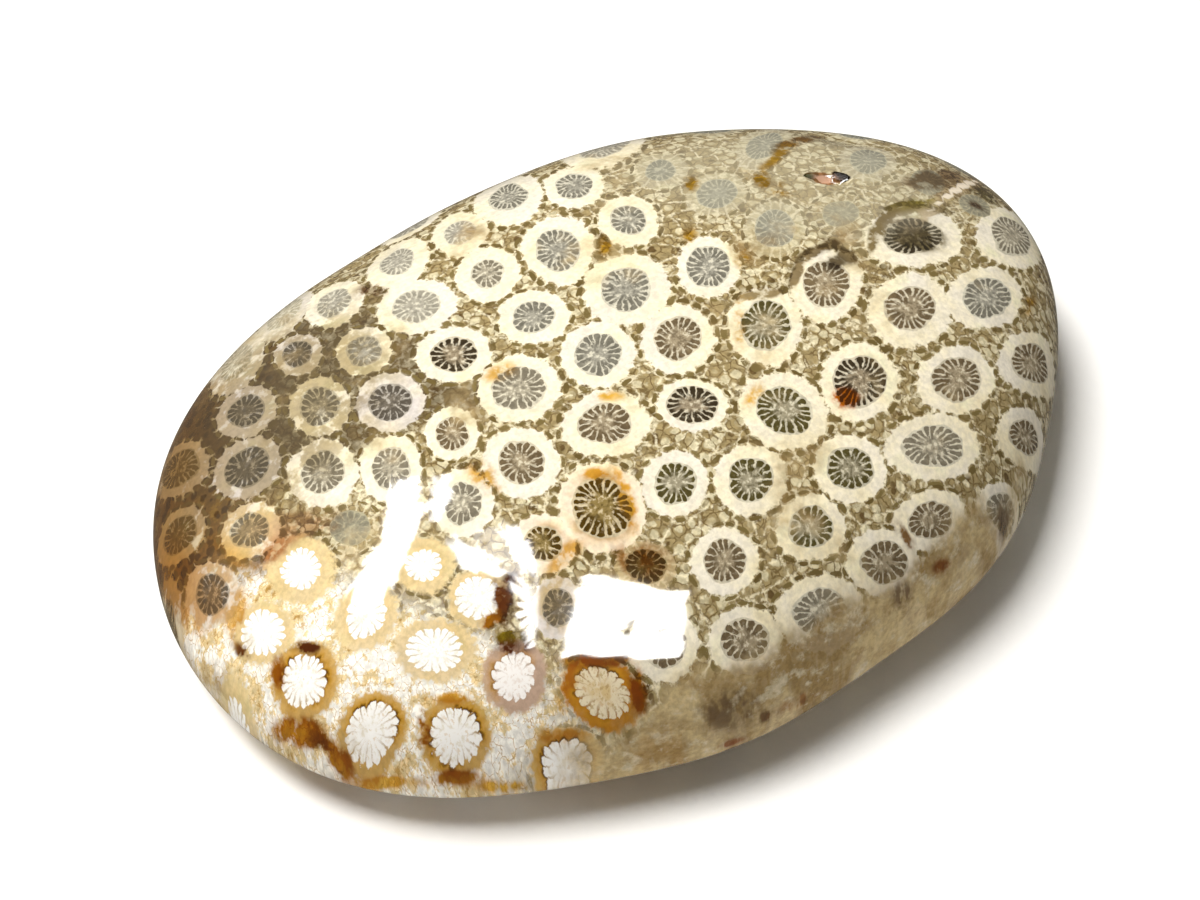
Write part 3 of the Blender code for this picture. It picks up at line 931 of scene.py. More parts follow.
class Wiring:
    """Adds nodes to one tree and joins them."""

    def __init__(self, tree: bpy.types.NodeTree) -> None:
        """Starts on a tree.

        Args:
            tree: Where the nodes go.
        """
        self.tree = tree

    def node(self, kind: str, **settings: object) -> bpy.types.Node:
        """Adds a node.

        Args:
            kind: Its Blender type.
            **settings: Its properties.

        Returns:
            The node.
        """
        node = self.tree.nodes.new(kind)
        for name, value in settings.items():
            setattr(node, name, value)
        return node

    def feed(self, socket: Socket, value: object) -> None:
        """Joins a socket to what it takes, or sets its value.

        Args:
            socket: The input.
            value: An output to link, a number, or a colour or vector of three numbers.
        """
        if isinstance(value, bpy.types.NodeSocket):
            self.tree.links.new(value, socket)
        elif isinstance(value, tuple) and socket.type == "RGBA":
            socket.default_value = (*value, 1.0)
        else:
            socket.default_value = value

    def math(self, operation: str, first: object, second: object = 0.0, third: object = 0.0) -> Socket:
        """A number worked out from up to three others.

        Args:
            operation: Blender's name of the sum.
            first: First number or output.
            second: Second, where the sum takes one.
            third: Third, where the sum takes one.

        Returns:
            The result.
        """
        node = self.node("ShaderNodeMath", operation=operation)
        for socket, value in zip(node.inputs, (first, second, third)):
            self.feed(socket, value)
        return node.outputs[0]

    def step(self, value: object, low: object, high: object, to_low: float = 0.0, to_high: float = 1.0) -> Socket:
        """A smooth step between two levels.

        Args:
            value: What is measured.
            low: Level where the step starts.
            high: Level where it ends, which may be the lower one.
            to_low: Result at the start.
            to_high: Result at the end.

        Returns:
            The result.
        """
        node = self.node("ShaderNodeMapRange", interpolation_type="SMOOTHSTEP")
        for socket, given in zip(node.inputs, (value, low, high, to_low, to_high)):
            self.feed(socket, given)
        return node.outputs[0]

    def vector(self, operation: str, first: object, second: object = (0.0, 0.0, 0.0), scale: object = 1.0) -> Socket:
        """A vector worked out from others.

        Args:
            operation: Blender's name of the sum.
            first: First vector.
            second: Second, where the sum takes one.
            scale: Factor, for SCALE.

        Returns:
            The resulting vector, or the number for LENGTH.
        """
        node = self.node("ShaderNodeVectorMath", operation=operation)
        self.feed(node.inputs[0], first)
        if operation not in ("SCALE", "LENGTH"):
            self.feed(node.inputs[1], second)
        if operation == "SCALE":
            self.feed(node.inputs["Scale"], scale)
        return node.outputs["Value" if operation == "LENGTH" else "Vector"]

    def mix(self, share: object, first: object, second: object, blend: str = "MIX") -> Socket:
        """A mix of two colours.

        Args:
            share: How much of the second.
            first: First colour.
            second: Second colour.
            blend: Blender's name of the way they mix.

        Returns:
            The mixed colour.
        """
        node = self.node("ShaderNodeMix", data_type="RGBA", blend_type=blend, clamp_factor=True)
        self.feed(node.inputs[0], share)
        self.feed(node.inputs[6], first)
        self.feed(node.inputs[7], second)
        return node.outputs[2]

    def parts(self, value: Socket) -> tuple[Socket, Socket, Socket]:
        """The three numbers of a vector."""
        node = self.node("ShaderNodeSeparateXYZ")
        self.feed(node.inputs[0], value)
        return node.outputs[0], node.outputs[1], node.outputs[2]

    def whole(self, x: object, y: object, z: object) -> Socket:
        """A vector of three numbers."""
        node = self.node("ShaderNodeCombineXYZ")
        for socket, value in zip(node.inputs, (x, y, z)):
            self.feed(socket, value)
        return node.outputs[0]

    def noise(self, place: Socket, size: float, detail: float = 2.0, roughness: float = 0.5) -> bpy.types.Node:
        """Soft noise.

        Args:
            place: Where it is read, in millimetres.
            size: Size of its largest lumps, in millimetres.
            detail: Finer layers.
            roughness: Strength of the finer layers.

        Returns:
            The noise node, with outputs 0 (a number) and 1 (a colour).
        """
        node = self.node("ShaderNodeTexNoise")
        self.feed(node.inputs["Vector"], place)
        self.feed(node.inputs["Scale"], 1.0 / size)
        self.feed(node.inputs["Detail"], detail)
        self.feed(node.inputs["Roughness"], roughness)
        return node

    def cells(self, place: Socket, size: float, feature: str) -> bpy.types.Node:
        """A pattern of cells.

        Args:
            place: Where it is read, in millimetres.
            size: Size of a cell, in millimetres.
            feature: What is measured in them: F1 or DISTANCE_TO_EDGE.

        Returns:
            The node.
        """
        node = self.node("ShaderNodeTexVoronoi", feature=feature)
        self.feed(node.inputs["Vector"], place)
        self.feed(node.inputs["Scale"], 1.0 / size)
        return node


class WiredGroup(Wiring):
    """A shader node group with named inputs and outputs, of which materials place copies."""

    def __init__(self, name: str, inputs: dict[str, str], outputs: dict[str, str]) -> None:
        """Starts an empty group.

        Args:
            name: The group's name.
            inputs: Kind of each input by its name: Float, Vector or Color.
            outputs: Kind of each output by its name.
        """
        super().__init__(bpy.data.node_groups.new(name, "ShaderNodeTree"))
        for label, kind in inputs.items():
            self.tree.interface.new_socket(label, in_out="INPUT", socket_type=f"NodeSocket{kind}")
        for label, kind in outputs.items():
            self.tree.interface.new_socket(label, in_out="OUTPUT", socket_type=f"NodeSocket{kind}")
        self.given = self.node("NodeGroupInput").outputs
        self.result = self.node("NodeGroupOutput").inputs

    def place_in(self, wiring: Wiring, **values: object) -> bpy.types.NodeOutputs:
        """Places a copy of the group in another tree.

        Args:
            wiring: That tree.
            **values: What its inputs take, by their names in small letters.

        Returns:
            The copy's outputs.
        """
        node = wiring.node("ShaderNodeGroup", node_tree=self.tree)
        for socket in node.inputs:
            wiring.feed(socket, values[socket.name.lower()])
        return node.outputs


@dataclass(frozen=True)
class TubePlace:
    """Where a point lies along and across the tubes: its plan in millimetres, and its height drawn out."""

    spread_depth: float
    level: float
    stretch: float = 0.16

    def build(self) -> WiredGroup:
        """Makes the group that turns a place in the stone into a place in the coral.

        Returns:
            The group.
        """
        group = WiredGroup("tube_place", {"Stone": "Vector"}, {"Coral": "Vector"})
        in_mm = group.vector("SCALE", group.given["Stone"], scale=1.0 / MM)
        x, y, z = group.parts(in_mm)
        below = self.spread_depth / MM
        spread = group.math("DIVIDE", below + self.level / MM, group.math("ADD", z, below))
        plan = group.whole(
            group.math("MULTIPLY", x, spread),
            group.math("MULTIPLY", y, spread),
            group.math("MULTIPLY", z, self.stretch),
        )
        group.feed(group.result["Coral"], plan)
        return group


@dataclass(frozen=True)
class CupPattern:
    """One cup with its ring, its radial plates and the beads round it, in a circle of radius 1 at the ring's edge."""

    plate: float = 0.014
    soft: float = 0.014
    petal: float = 0.12
    crumble: float = 0.30
    tooth: float = 0.07
    bead_at: float = 1.075
    bead_half: float = 0.07
    amber: Colour = paint(186, 134, 30)
    dark_amber: Colour = paint(88, 54, 8)

    def build(self) -> WiredGroup:
        """Makes the group that draws a cup.

        Returns:
            The group.
        """
        group = WiredGroup(
            "coral_cup",
            {
                "Place": "Vector",
                "Cut": "Vector",
                "Rim": "Vector",
                "Slot": "Color",
                "Core": "Color",
                "Wall": "Color",
                "Wander": "Vector",
                "Grain": "Float",
                "Drift": "Float",
                "Broad": "Float",
            },
            {"Colour": "Color", "Cover": "Float", "Bead": "Float", "Spoke": "Float", "Tone": "Float"},
        )
        given = group.given
        crisp, ringed, chalky = group.parts(given["Cut"])
        inner, slots, border = group.parts(given["Rim"])
        seed = group.parts(given["Place"])[2]
        x, y, _ = group.parts(group.vector("ADD", given["Place"], given["Wander"]))
        reach = group.vector("LENGTH", group.whole(x, y, 0.0))
        turn = group.math("DIVIDE", group.math("ARCTAN2", y, x), 2.0 * math.pi)
        sway = group.math("MULTIPLY", group.math("SUBTRACT", given["Drift"], 0.5), 1.3)
        fidget = group.math("MULTIPLY_ADD", group.math("SUBTRACT", given["Grain"], 0.5), 0.75, sway)
        count = group.math("MULTIPLY_ADD", turn, slots, fidget)
        chance = group.node("ShaderNodeTexWhiteNoise", noise_dimensions="2D")
        number = group.math("FLOOR", count)
        group.feed(chance.inputs["Vector"], group.whole(number, group.math("MULTIPLY", seed, 91.7), 0.0))
        luck = chance.outputs["Value"]
        across = group.math("MULTIPLY", group.math("PINGPONG", count, 0.5), 2.0)
        half = group.math("DIVIDE", group.math("MULTIPLY", reach, math.pi), slots)
        from_plate = group.math("MULTIPLY", across, half)
        from_slot = group.math("SUBTRACT", half, from_plate)
        share = group.math("DIVIDE", reach, inner)
        by_plate = group.math("POWER", group.math("SUBTRACT", 1.0, across), 2.0)

        odd = group.math("PINGPONG", group.math("ROUND", count), 1.0)
        ended = group.math("MULTIPLY", group.math("MULTIPLY", odd, group.step(share, 0.58, 0.46)), 0.05)
        slot = self.slot(group, reach, inner, half, group.math("ADD", from_plate, ended), from_slot, luck)
        cup = self.cup_colour(group, share, slot, luck, crisp)
        cup = group.mix(chalky, cup, self.chalk_colour(group, share, from_plate, luck))
        bite = group.math("MULTIPLY_ADD", luck, 1.3 * self.petal, 0.3 * self.petal)
        rough = group.math("MULTIPLY", group.math("SUBTRACT", given["Grain"], 0.5), self.crumble)
        notch = group.math("MULTIPLY", group.math("MULTIPLY_ADD", by_plate, bite, rough), chalky)
        edge = group.math("MULTIPLY", inner, group.math("SUBTRACT", 1.0, notch))
        inside = group.step(reach, group.math("ADD", edge, 0.015), group.math("SUBTRACT", edge, 0.015))

        wall = self.wall_colour(group, reach, edge, border)
        scallop = group.math("MULTIPLY_ADD", by_plate, self.tooth, 0.955)
        ragged = group.math("MULTIPLY_ADD", chalky, 0.24, 0.16)
        outer = group.math("MULTIPLY_ADD", group.math("SUBTRACT", given["Grain"], 0.5), ragged, scallop)
        fade = group.math("MULTIPLY_ADD", chalky, 0.06, 0.025)
        ring = group.step(reach, group.math("ADD", outer, fade), group.math("SUBTRACT", outer, fade))
        group.feed(group.result["Colour"], group.mix(inside, wall, cup))
        seen = group.math("MAXIMUM", group.math("MULTIPLY", ring, ringed), inside)
        group.feed(group.result["Cover"], seen)

        off_row = group.math("DIVIDE", group.math("SUBTRACT", reach, self.bead_at), self.bead_half)
        off_gap = group.math("DIVIDE", group.math("SUBTRACT", 1.0, across), 0.8)
        off_middle = group.math("MULTIPLY_ADD", off_row, off_row, group.math("MULTIPLY", off_gap, off_gap))
        bead = group.step(off_middle, 1.15, 0.6)
        there = group.step(group.math("MULTIPLY_ADD", given["Broad"], 2.4, luck), 1.35, 1.6)
        group.feed(group.result["Bead"], group.math("MULTIPLY", bead, there))
        spoke = group.math("MULTIPLY", group.step(from_plate, 0.05, 0.015), group.step(reach, 1.22, 1.05))
        group.feed(group.result["Spoke"], spoke)
        group.feed(group.result["Tone"], luck)
        return group

    def slot(
        self,
        group: WiredGroup,
        reach: Socket,
        inner: Socket,
        half: Socket,
        from_plate: Socket,
        from_slot: Socket,
        luck: Socket,
    ) -> Socket:
        """Mask of the gaps between the radial plates: round at the ring and closing towards the middle.

        Args:
            group: Where the nodes go.
            reach: Distance from the cup's middle.
            inner: Radius of the ring's inner edge.
            half: Half the way from one plate to the next.
            from_plate: Distance from the nearest plate's middle line.
            from_slot: Distance from the gap's middle line.
            luck: A random number for each gap.

        Returns:
            1 in a gap and 0 elsewhere.
        """
        thick = group.math("MULTIPLY_ADD", reach, self.plate, self.plate * 0.2)
        side = group.math("MULTIPLY_ADD", luck, -0.012, group.math("SUBTRACT", from_plate, thick))
        bulge = group.math("DIVIDE", group.math("MULTIPLY", from_slot, from_slot), group.math("MULTIPLY", half, 1.6))
        end = group.math("SUBTRACT", group.math("SUBTRACT", inner, reach), bulge)
        near = group.math("MULTIPLY_ADD", luck, -0.05, end)
        return group.step(group.math("MINIMUM", side, near), 0.0, self.soft)

    def cup_colour(self, group: WiredGroup, share: Socket, slot: Socket, luck: Socket, crisp: Socket) -> Socket:
        """Colours of a cup whose gaps are dark.

        Args:
            group: Where the nodes go.
            share: Distance from the cup's middle, as a share of the way to the ring.
            slot: Mask of the gaps.
            luck: A random number for each gap.
            crisp: How strongly they stand out.

        Returns:
            The colour inside the ring.
        """
        given = group.given
        plates = group.mix(0.42, given["Core"], given["Wall"])
        body = group.mix(group.step(share, 0.2, 0.8), given["Core"], plates)
        start = group.math("MULTIPLY_ADD", group.math("MULTIPLY", luck, luck), 0.34, 0.24)
        deep = group.step(share, start, group.math("ADD", start, 0.22))
        gap = group.mix(group.math("MULTIPLY", deep, crisp), given["Core"], given["Slot"])
        drawn = group.mix(slot, body, gap)
        fleck = group.step(given["Grain"], 0.46, 0.36)
        middle = group.math("MULTIPLY", group.math("MULTIPLY", fleck, group.step(share, 0.75, 0.3)), 0.55)
        drawn = group.mix(group.math("MULTIPLY", middle, crisp), drawn, given["Slot"])
        fibre = group.math("MULTIPLY", group.step(given["Grain"], 0.54, 0.62), group.step(share, 0.85, 0.45))
        drawn = group.mix(group.math("MULTIPLY", fibre, 0.34), drawn, given["Wall"])
        fine = group.step(given["Grain"], 0.3, 0.7, 0.80, 1.22)
        return group.mix(1.0, drawn, group.whole(fine, fine, fine), "MULTIPLY")

    def chalk_colour(self, group: WiredGroup, share: Socket, from_plate: Socket, luck: Socket) -> Socket:
        """Colours of a cup whose gaps are filled with white, so that its plates show as fine dark cracks.

        Args:
            group: Where the nodes go.
            share: Distance from the cup's middle, as a share of the way to the ring.
            from_plate: Distance from the nearest plate's middle line.
            luck: A random number for each gap.

        Returns:
            The colour inside the ring.
        """
        given = group.given
        start = group.math("MULTIPLY_ADD", luck, 0.6, 0.1)
        crack = group.math("MULTIPLY", group.step(from_plate, 0.036, 0.010), group.step(share, start, 0.95))
        crack = group.math("MULTIPLY", crack, group.step(given["Grain"], 0.34, 0.46))
        dark = group.mix(0.45, given["Wall"], self.dark_amber)
        body = group.mix(group.step(given["Grain"], 0.52, 0.66), given["Slot"], given["Core"])
        pocket = group.math("MULTIPLY", group.step(given["Grain"], 0.40, 0.34), group.step(share, 1.1, 0.6))
        body = group.mix(group.math("MULTIPLY", pocket, 0.4), body, given["Wall"])
        return group.mix(group.math("MULTIPLY", crack, 0.85), body, dark)

    def wall_colour(self, group: WiredGroup, reach: Socket, edge: Socket, border: Socket) -> Socket:
        """Colours of the ring, with the stain along its inner edge.

        Args:
            group: Where the nodes go.
            reach: Distance from the cup's middle.
            edge: Radius of the ring's inner edge there.
            border: How dark the stain is.

        Returns:
            The ring's colour.
        """
        given = group.given
        tint = group.mix(group.step(given["Broad"], 0.36, 0.66), paint(251, 249, 255), paint(255, 249, 234))
        tint = group.mix(group.step(given["Drift"], 0.52, 0.72), tint, paint(240, 240, 226))
        body = group.mix(1.0, given["Wall"], tint, "MULTIPLY")
        mottle = group.step(given["Drift"], 0.36, 0.62, 0.90, 1.02)
        pale = group.math("MULTIPLY", mottle, group.step(given["Grain"], 0.3, 0.7, 0.88, 1.10))
        body = group.mix(1.0, body, group.whole(pale, pale, pale), "MULTIPLY")
        away = group.math("SUBTRACT", reach, edge)
        patchy = group.math("MULTIPLY", border, group.step(given["Drift"], 0.40, 0.58))
        wide = group.math("MULTIPLY", group.step(away, 0.30, 0.02), patchy)
        tinged = group.mix(wide, body, self.amber)
        close = group.math("MULTIPLY", group.step(away, 0.11, 0.02), group.math("MULTIPLY", patchy, patchy))
        return group.mix(close, tinged, self.dark_amber)


@dataclass(frozen=True)
class MatrixPattern:
    """The coral's bubbly filling between the rings: small rounded cells with pale skins."""

    cell: float = 0.74
    wriggle: float = 0.42
    line: float = 0.09
    dark_cell: Colour = paint(98, 78, 46)
    middle_cell: Colour = paint(158, 140, 98)
    pale_cell: Colour = paint(206, 195, 160)
    pale_skin: Colour = paint(232, 222, 190)
    chalk_cell: Colour = paint(253, 249, 240)
    chalk_skin: Colour = paint(230, 206, 156)
    chalk_deep: Colour = paint(178, 140, 76)
    brown_cell: Colour = paint(74, 50, 16)
    brown_skin: Colour = paint(124, 96, 50)
    soot_cell: Colour = paint(78, 62, 40)

    def build(self) -> WiredGroup:
        """Makes the group that draws the filling.

        Returns:
            The group.
        """
        group = WiredGroup(
            "coral_matrix",
            {
                "Coral": "Vector",
                "Grain": "Float",
                "Drift": "Float",
                "Broad": "Float",
                "Chalk": "Float",
                "Brown": "Float",
                "Soot": "Float",
            },
            {"Colour": "Color"},
        )
        given = group.given
        jitter = group.noise(given["Coral"], 0.55, 2.0, 0.6)
        shift = group.vector("SUBTRACT", jitter.outputs[1], (0.5, 0.5, 0.5))
        place = group.vector("ADD", given["Coral"], group.vector("SCALE", shift, scale=self.wriggle))
        cells = group.cells(place, self.cell, "F1")
        chance = group.parts(cells.outputs["Color"])[0]
        size = group.math("MULTIPLY_ADD", chance, 0.16, 0.42)
        blob = group.step(cells.outputs["Distance"], size, group.math("SUBTRACT", size, 0.14))
        tone = group.math("ADD", chance, group.math("MULTIPLY", group.math("SUBTRACT", given["Drift"], 0.5), 1.6))
        dark = group.mix(group.step(tone, 0.02, 0.30), self.dark_cell, self.middle_cell)
        cell = group.mix(group.step(tone, 0.14, 0.58), dark, self.pale_cell)
        plain = group.mix(blob, self.middle_cell, cell)
        net = group.cells(place, self.cell, "DISTANCE_TO_EDGE").outputs["Distance"]
        line = group.math("MULTIPLY", group.step(net, self.line, 0.02), group.step(given["Grain"], 0.34, 0.52))
        plain = group.mix(group.math("MULTIPLY", line, 0.85), plain, self.dark_cell)
        vein = group.cells(place, self.cell * 2.1, "DISTANCE_TO_EDGE").outputs["Distance"]
        streak = group.math("MULTIPLY", group.step(vein, 0.09, 0.01), group.step(given["Grain"], 0.40, 0.56))
        plain = group.mix(group.math("MULTIPLY", streak, 0.75), plain, self.pale_skin)
        brown = group.mix(blob, self.brown_skin, self.brown_cell)
        bare = group.noise(given["Coral"], 1.9, 5.0, 0.74).outputs[0]
        chalk = group.mix(group.step(bare, 0.49, 0.55), self.chalk_cell, self.chalk_skin)
        chalk = group.mix(group.step(bare, 0.58, 0.66), chalk, self.chalk_deep)
        frill = group.cells(place, self.cell * 0.8, "DISTANCE_TO_EDGE").outputs["Distance"]
        crack = group.math("MULTIPLY", group.step(frill, 0.05, 0.01), group.step(given["Grain"], 0.42, 0.52))
        chalk = group.mix(group.math("MULTIPLY", crack, 0.75), chalk, self.chalk_deep)
        body = group.mix(given["Brown"], plain, brown)
        body = group.mix(given["Soot"], body, group.mix(0.7, body, self.soot_cell))
        body = group.mix(given["Chalk"], body, chalk)
        fine = group.step(given["Grain"], 0.3, 0.7, 0.78, 1.18)
        body = group.mix(1.0, body, group.whole(fine, fine, fine), "MULTIPLY")
        group.feed(group.result["Colour"], body)
        return group


@dataclass(frozen=True)
class PolishedCoral:
    """The stone's finish: the whole of the coral's pattern under a clear polish."""

    place: TubePlace
    cup: CupPattern = CupPattern()
    matrix: MatrixPattern = MatrixPattern()
    bead_dark: Colour = paint(78, 60, 24)
    bead_pale: Colour = paint(124, 108, 66)
    fog: Colour = paint(200, 178, 132)
    fog_dark: Colour = paint(152, 126, 82)
    fog_pale: Colour = paint(204, 190, 158)
    veil: Colour = paint(180, 174, 150)
    roughness: float = 0.05
    pit_roughness: float = 0.7
    ior: float = 1.54

    def zone(self, wiring: Wiring, strength: Socket, drift: Socket, rough: float = 0.5) -> Socket:
        """A zone's mask with a broken edge.

        Args:
            wiring: Where the nodes go.
            strength: How strong the zone is.
            drift: Noise that breaks its edge.
            rough: How far the noise moves the edge.

        Returns:
            The mask, from 0 to 1.
        """
        moved = wiring.math("MULTIPLY_ADD", wiring.math("SUBTRACT", drift, 0.5), rough * 2.0, strength)
        return wiring.step(moved, 0.15, 0.95)

    def build(self) -> bpy.types.Material:
        """Makes the material.

        Returns:
            The material.
        """
        material = bpy.data.materials.new(SLOT)
        material.use_nodes = True
        material.node_tree.nodes.clear()
        wiring = Wiring(material.node_tree)
        stone = wiring.node("ShaderNodeTexCoord").outputs["Object"]
        coral = self.place.build().place_in(wiring, stone=stone)["Coral"]
        grain = wiring.noise(coral, 0.32, 3.0, 0.6).outputs[0]
        drift = wiring.noise(coral, 2.6, 3.0, 0.55).outputs[0]
        broad = wiring.noise(coral, 5.0, 4.0, 0.62).outputs[0]
        bend = wiring.vector("SUBTRACT", wiring.noise(coral, 1.9, 2.0).outputs[1], (0.5, 0.5, 0.5))
        wander = wiring.vector("SCALE", bend, scale=0.30)
        chalk, brown, fog = wiring.parts(self.attribute(wiring, "zone_near"))
        veil, soot, tinged = wiring.parts(self.attribute(wiring, "zone_far"))

        body = self.matrix.build().place_in(
            wiring,
            coral=coral,
            grain=grain,
            drift=drift,
            broad=broad,
            chalk=self.zone(wiring, chalk, broad),
            brown=self.zone(wiring, brown, broad),
            soot=self.zone(wiring, soot, broad),
        )["Colour"]
        cups = self.cup.build()
        noises = {"wander": wander, "grain": grain, "drift": drift, "broad": broad}
        drawn = [self.draw_cup(wiring, cups, title, noises) for title in ("next", "near")]
        for outputs in drawn:
            bead = wiring.mix(outputs["Tone"], self.bead_dark, self.bead_pale)
            body = wiring.mix(wiring.math("MULTIPLY", outputs["Spoke"], 0.55), body, self.matrix.pale_skin)
            plain = wiring.math("SUBTRACT", 1.0, self.zone(wiring, chalk, broad))
            body = wiring.mix(wiring.math("MULTIPLY", outputs["Bead"], plain), body, bead)
        for outputs in drawn:
            body = wiring.mix(outputs["Cover"], body, outputs["Colour"])
        body = wiring.mix(wiring.math("MULTIPLY", self.zone(wiring, veil, broad), 0.38), body, self.veil)
        haze = self.haze(wiring, wiring.vector("SCALE", stone, scale=1.0 / MM))
        body = wiring.mix(wiring.math("MULTIPLY", self.zone(wiring, fog, broad, 1.6), 0.9), body, haze)
        # The dabs' colour: the stone's stains, and the painted shade in the pit's crevice
        tint = self.attribute(wiring, "dab_colour")
        blotch = wiring.noise(coral, 1.1, 3.0, 0.65).outputs[0]
        rough = wiring.math("ADD", wiring.step(blotch, 0.36, 0.60, 0.35, 1.25), wiring.math("MULTIPLY", grain, 0.4))
        dab = wiring.step(wiring.math("MULTIPLY", tinged, rough), 0.12, 0.95)
        tinted = wiring.mix(1.0, body, tint, "MULTIPLY")
        tinted = wiring.mix(0.08, tinted, tint)
        solid = wiring.step(tinged, 2.0, 3.0)
        body = wiring.mix(dab, body, wiring.mix(solid, tinted, tint))

        shader = wiring.node("ShaderNodeBsdfPrincipled")
        wiring.feed(shader.inputs["Base Color"], body)
        worn = wiring.step(solid, 0.2, 0.8, self.roughness, self.pit_roughness)
        wiring.feed(shader.inputs["Roughness"], worn)
        shader.inputs["IOR"].default_value = self.ior
        output = wiring.node("ShaderNodeOutputMaterial")
        wiring.feed(output.inputs["Surface"], shader.outputs["BSDF"])
        return material

    def haze(self, wiring: Wiring, stone: Socket) -> Socket:
        """Colour of the clouded band along the near side: soft brown and grey clouds.

        Args:
            wiring: Where the nodes go.
            stone: Place in the stone, in millimetres.

        Returns:
            The colour.
        """
        cloud = wiring.noise(stone, 4.2, 4.0, 0.62).outputs[0]
        wisp = wiring.noise(stone, 1.5, 4.0, 0.66).outputs[0]
        fine = wiring.noise(stone, 0.34, 2.0, 0.6).outputs[0]
        body = wiring.mix(wiring.step(cloud, 0.38, 0.6), self.fog_dark, self.fog)
        body = wiring.mix(wiring.step(wisp, 0.52, 0.68), body, self.fog_pale)
        body = wiring.mix(wiring.math("MULTIPLY", wiring.step(wisp, 0.46, 0.32), 0.7), body, self.fog_dark)
        speck = wiring.step(fine, 0.3, 0.7, 0.84, 1.12)
        return wiring.mix(1.0, body, wiring.whole(speck, speck, speck), "MULTIPLY")

    def attribute(self, wiring: Wiring, name: str) -> Socket:
        """The vector that the skin holds under a name."""
        return wiring.node("ShaderNodeAttribute", attribute_name=name).outputs["Vector"]

    def draw_cup(
        self,
        wiring: Wiring,
        cups: WiredGroup,
        title: str,
        noises: dict[str, Socket],
    ) -> bpy.types.NodeOutputs:
        """Places the cup's pattern for one of the two nearest tubes.

        Args:
            wiring: Where the nodes go.
            cups: The cup's group.
            title: Which tube: near or next.
            noises: The noises that bend and mottle it, by the group's names for them.

        Returns:
            The pattern's outputs.
        """
        names = ("place", "cut", "rim", "slot", "core", "wall")
        values = {name: self.attribute(wiring, f"{title}_{name}") for name in names}
        return cups.place_in(wiring, **values, **noises)


@dataclass
class Stone:
    """The stone, with its skin and its coral."""

    view: PhotoView
    form: StoneForm = field(default_factory=StoneForm)

    def build(self) -> bpy.types.Object:
        """Builds and dresses the stone.

        Returns:
            The stone's object.
        """
        stone = self.form.build()
        mesh = stone.data
        tree = BVHTree.FromPolygons([v.co for v in mesh.vertices], [p.vertices for p in mesh.polygons])
        plan = CoralPlan(self.view, self.form)
        seen = plan.seen_tubes(tree)
        fillers = plan.filler_tubes(seen)
        LOG.info("cups seen %d, filled in %d, faces %d", len(seen), len(fillers), len(mesh.polygons))
        plan.mark_tubes(mesh, seen + fillers)
        plan.mark_zones(mesh, tree)
        mesh.materials.append(PolishedCoral(TubePlace(plan.spread_depth, plan.level)).build())
        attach(stone, "root")
        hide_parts(NODE)
        return stone


class Card(NamedTuple):
    """A bright card that the polish mirrors.

    Attributes:
        name: Its name.
        corners: The corners of its reflection, in pixels of the photograph.
        share: How bright it is, as a share of the windows.
        reach: Its distance, as a share of theirs.
    """

    name: str
    corners: tuple[tuple[float, float], ...]
    share: float = 1.0
    reach: float = 1.0


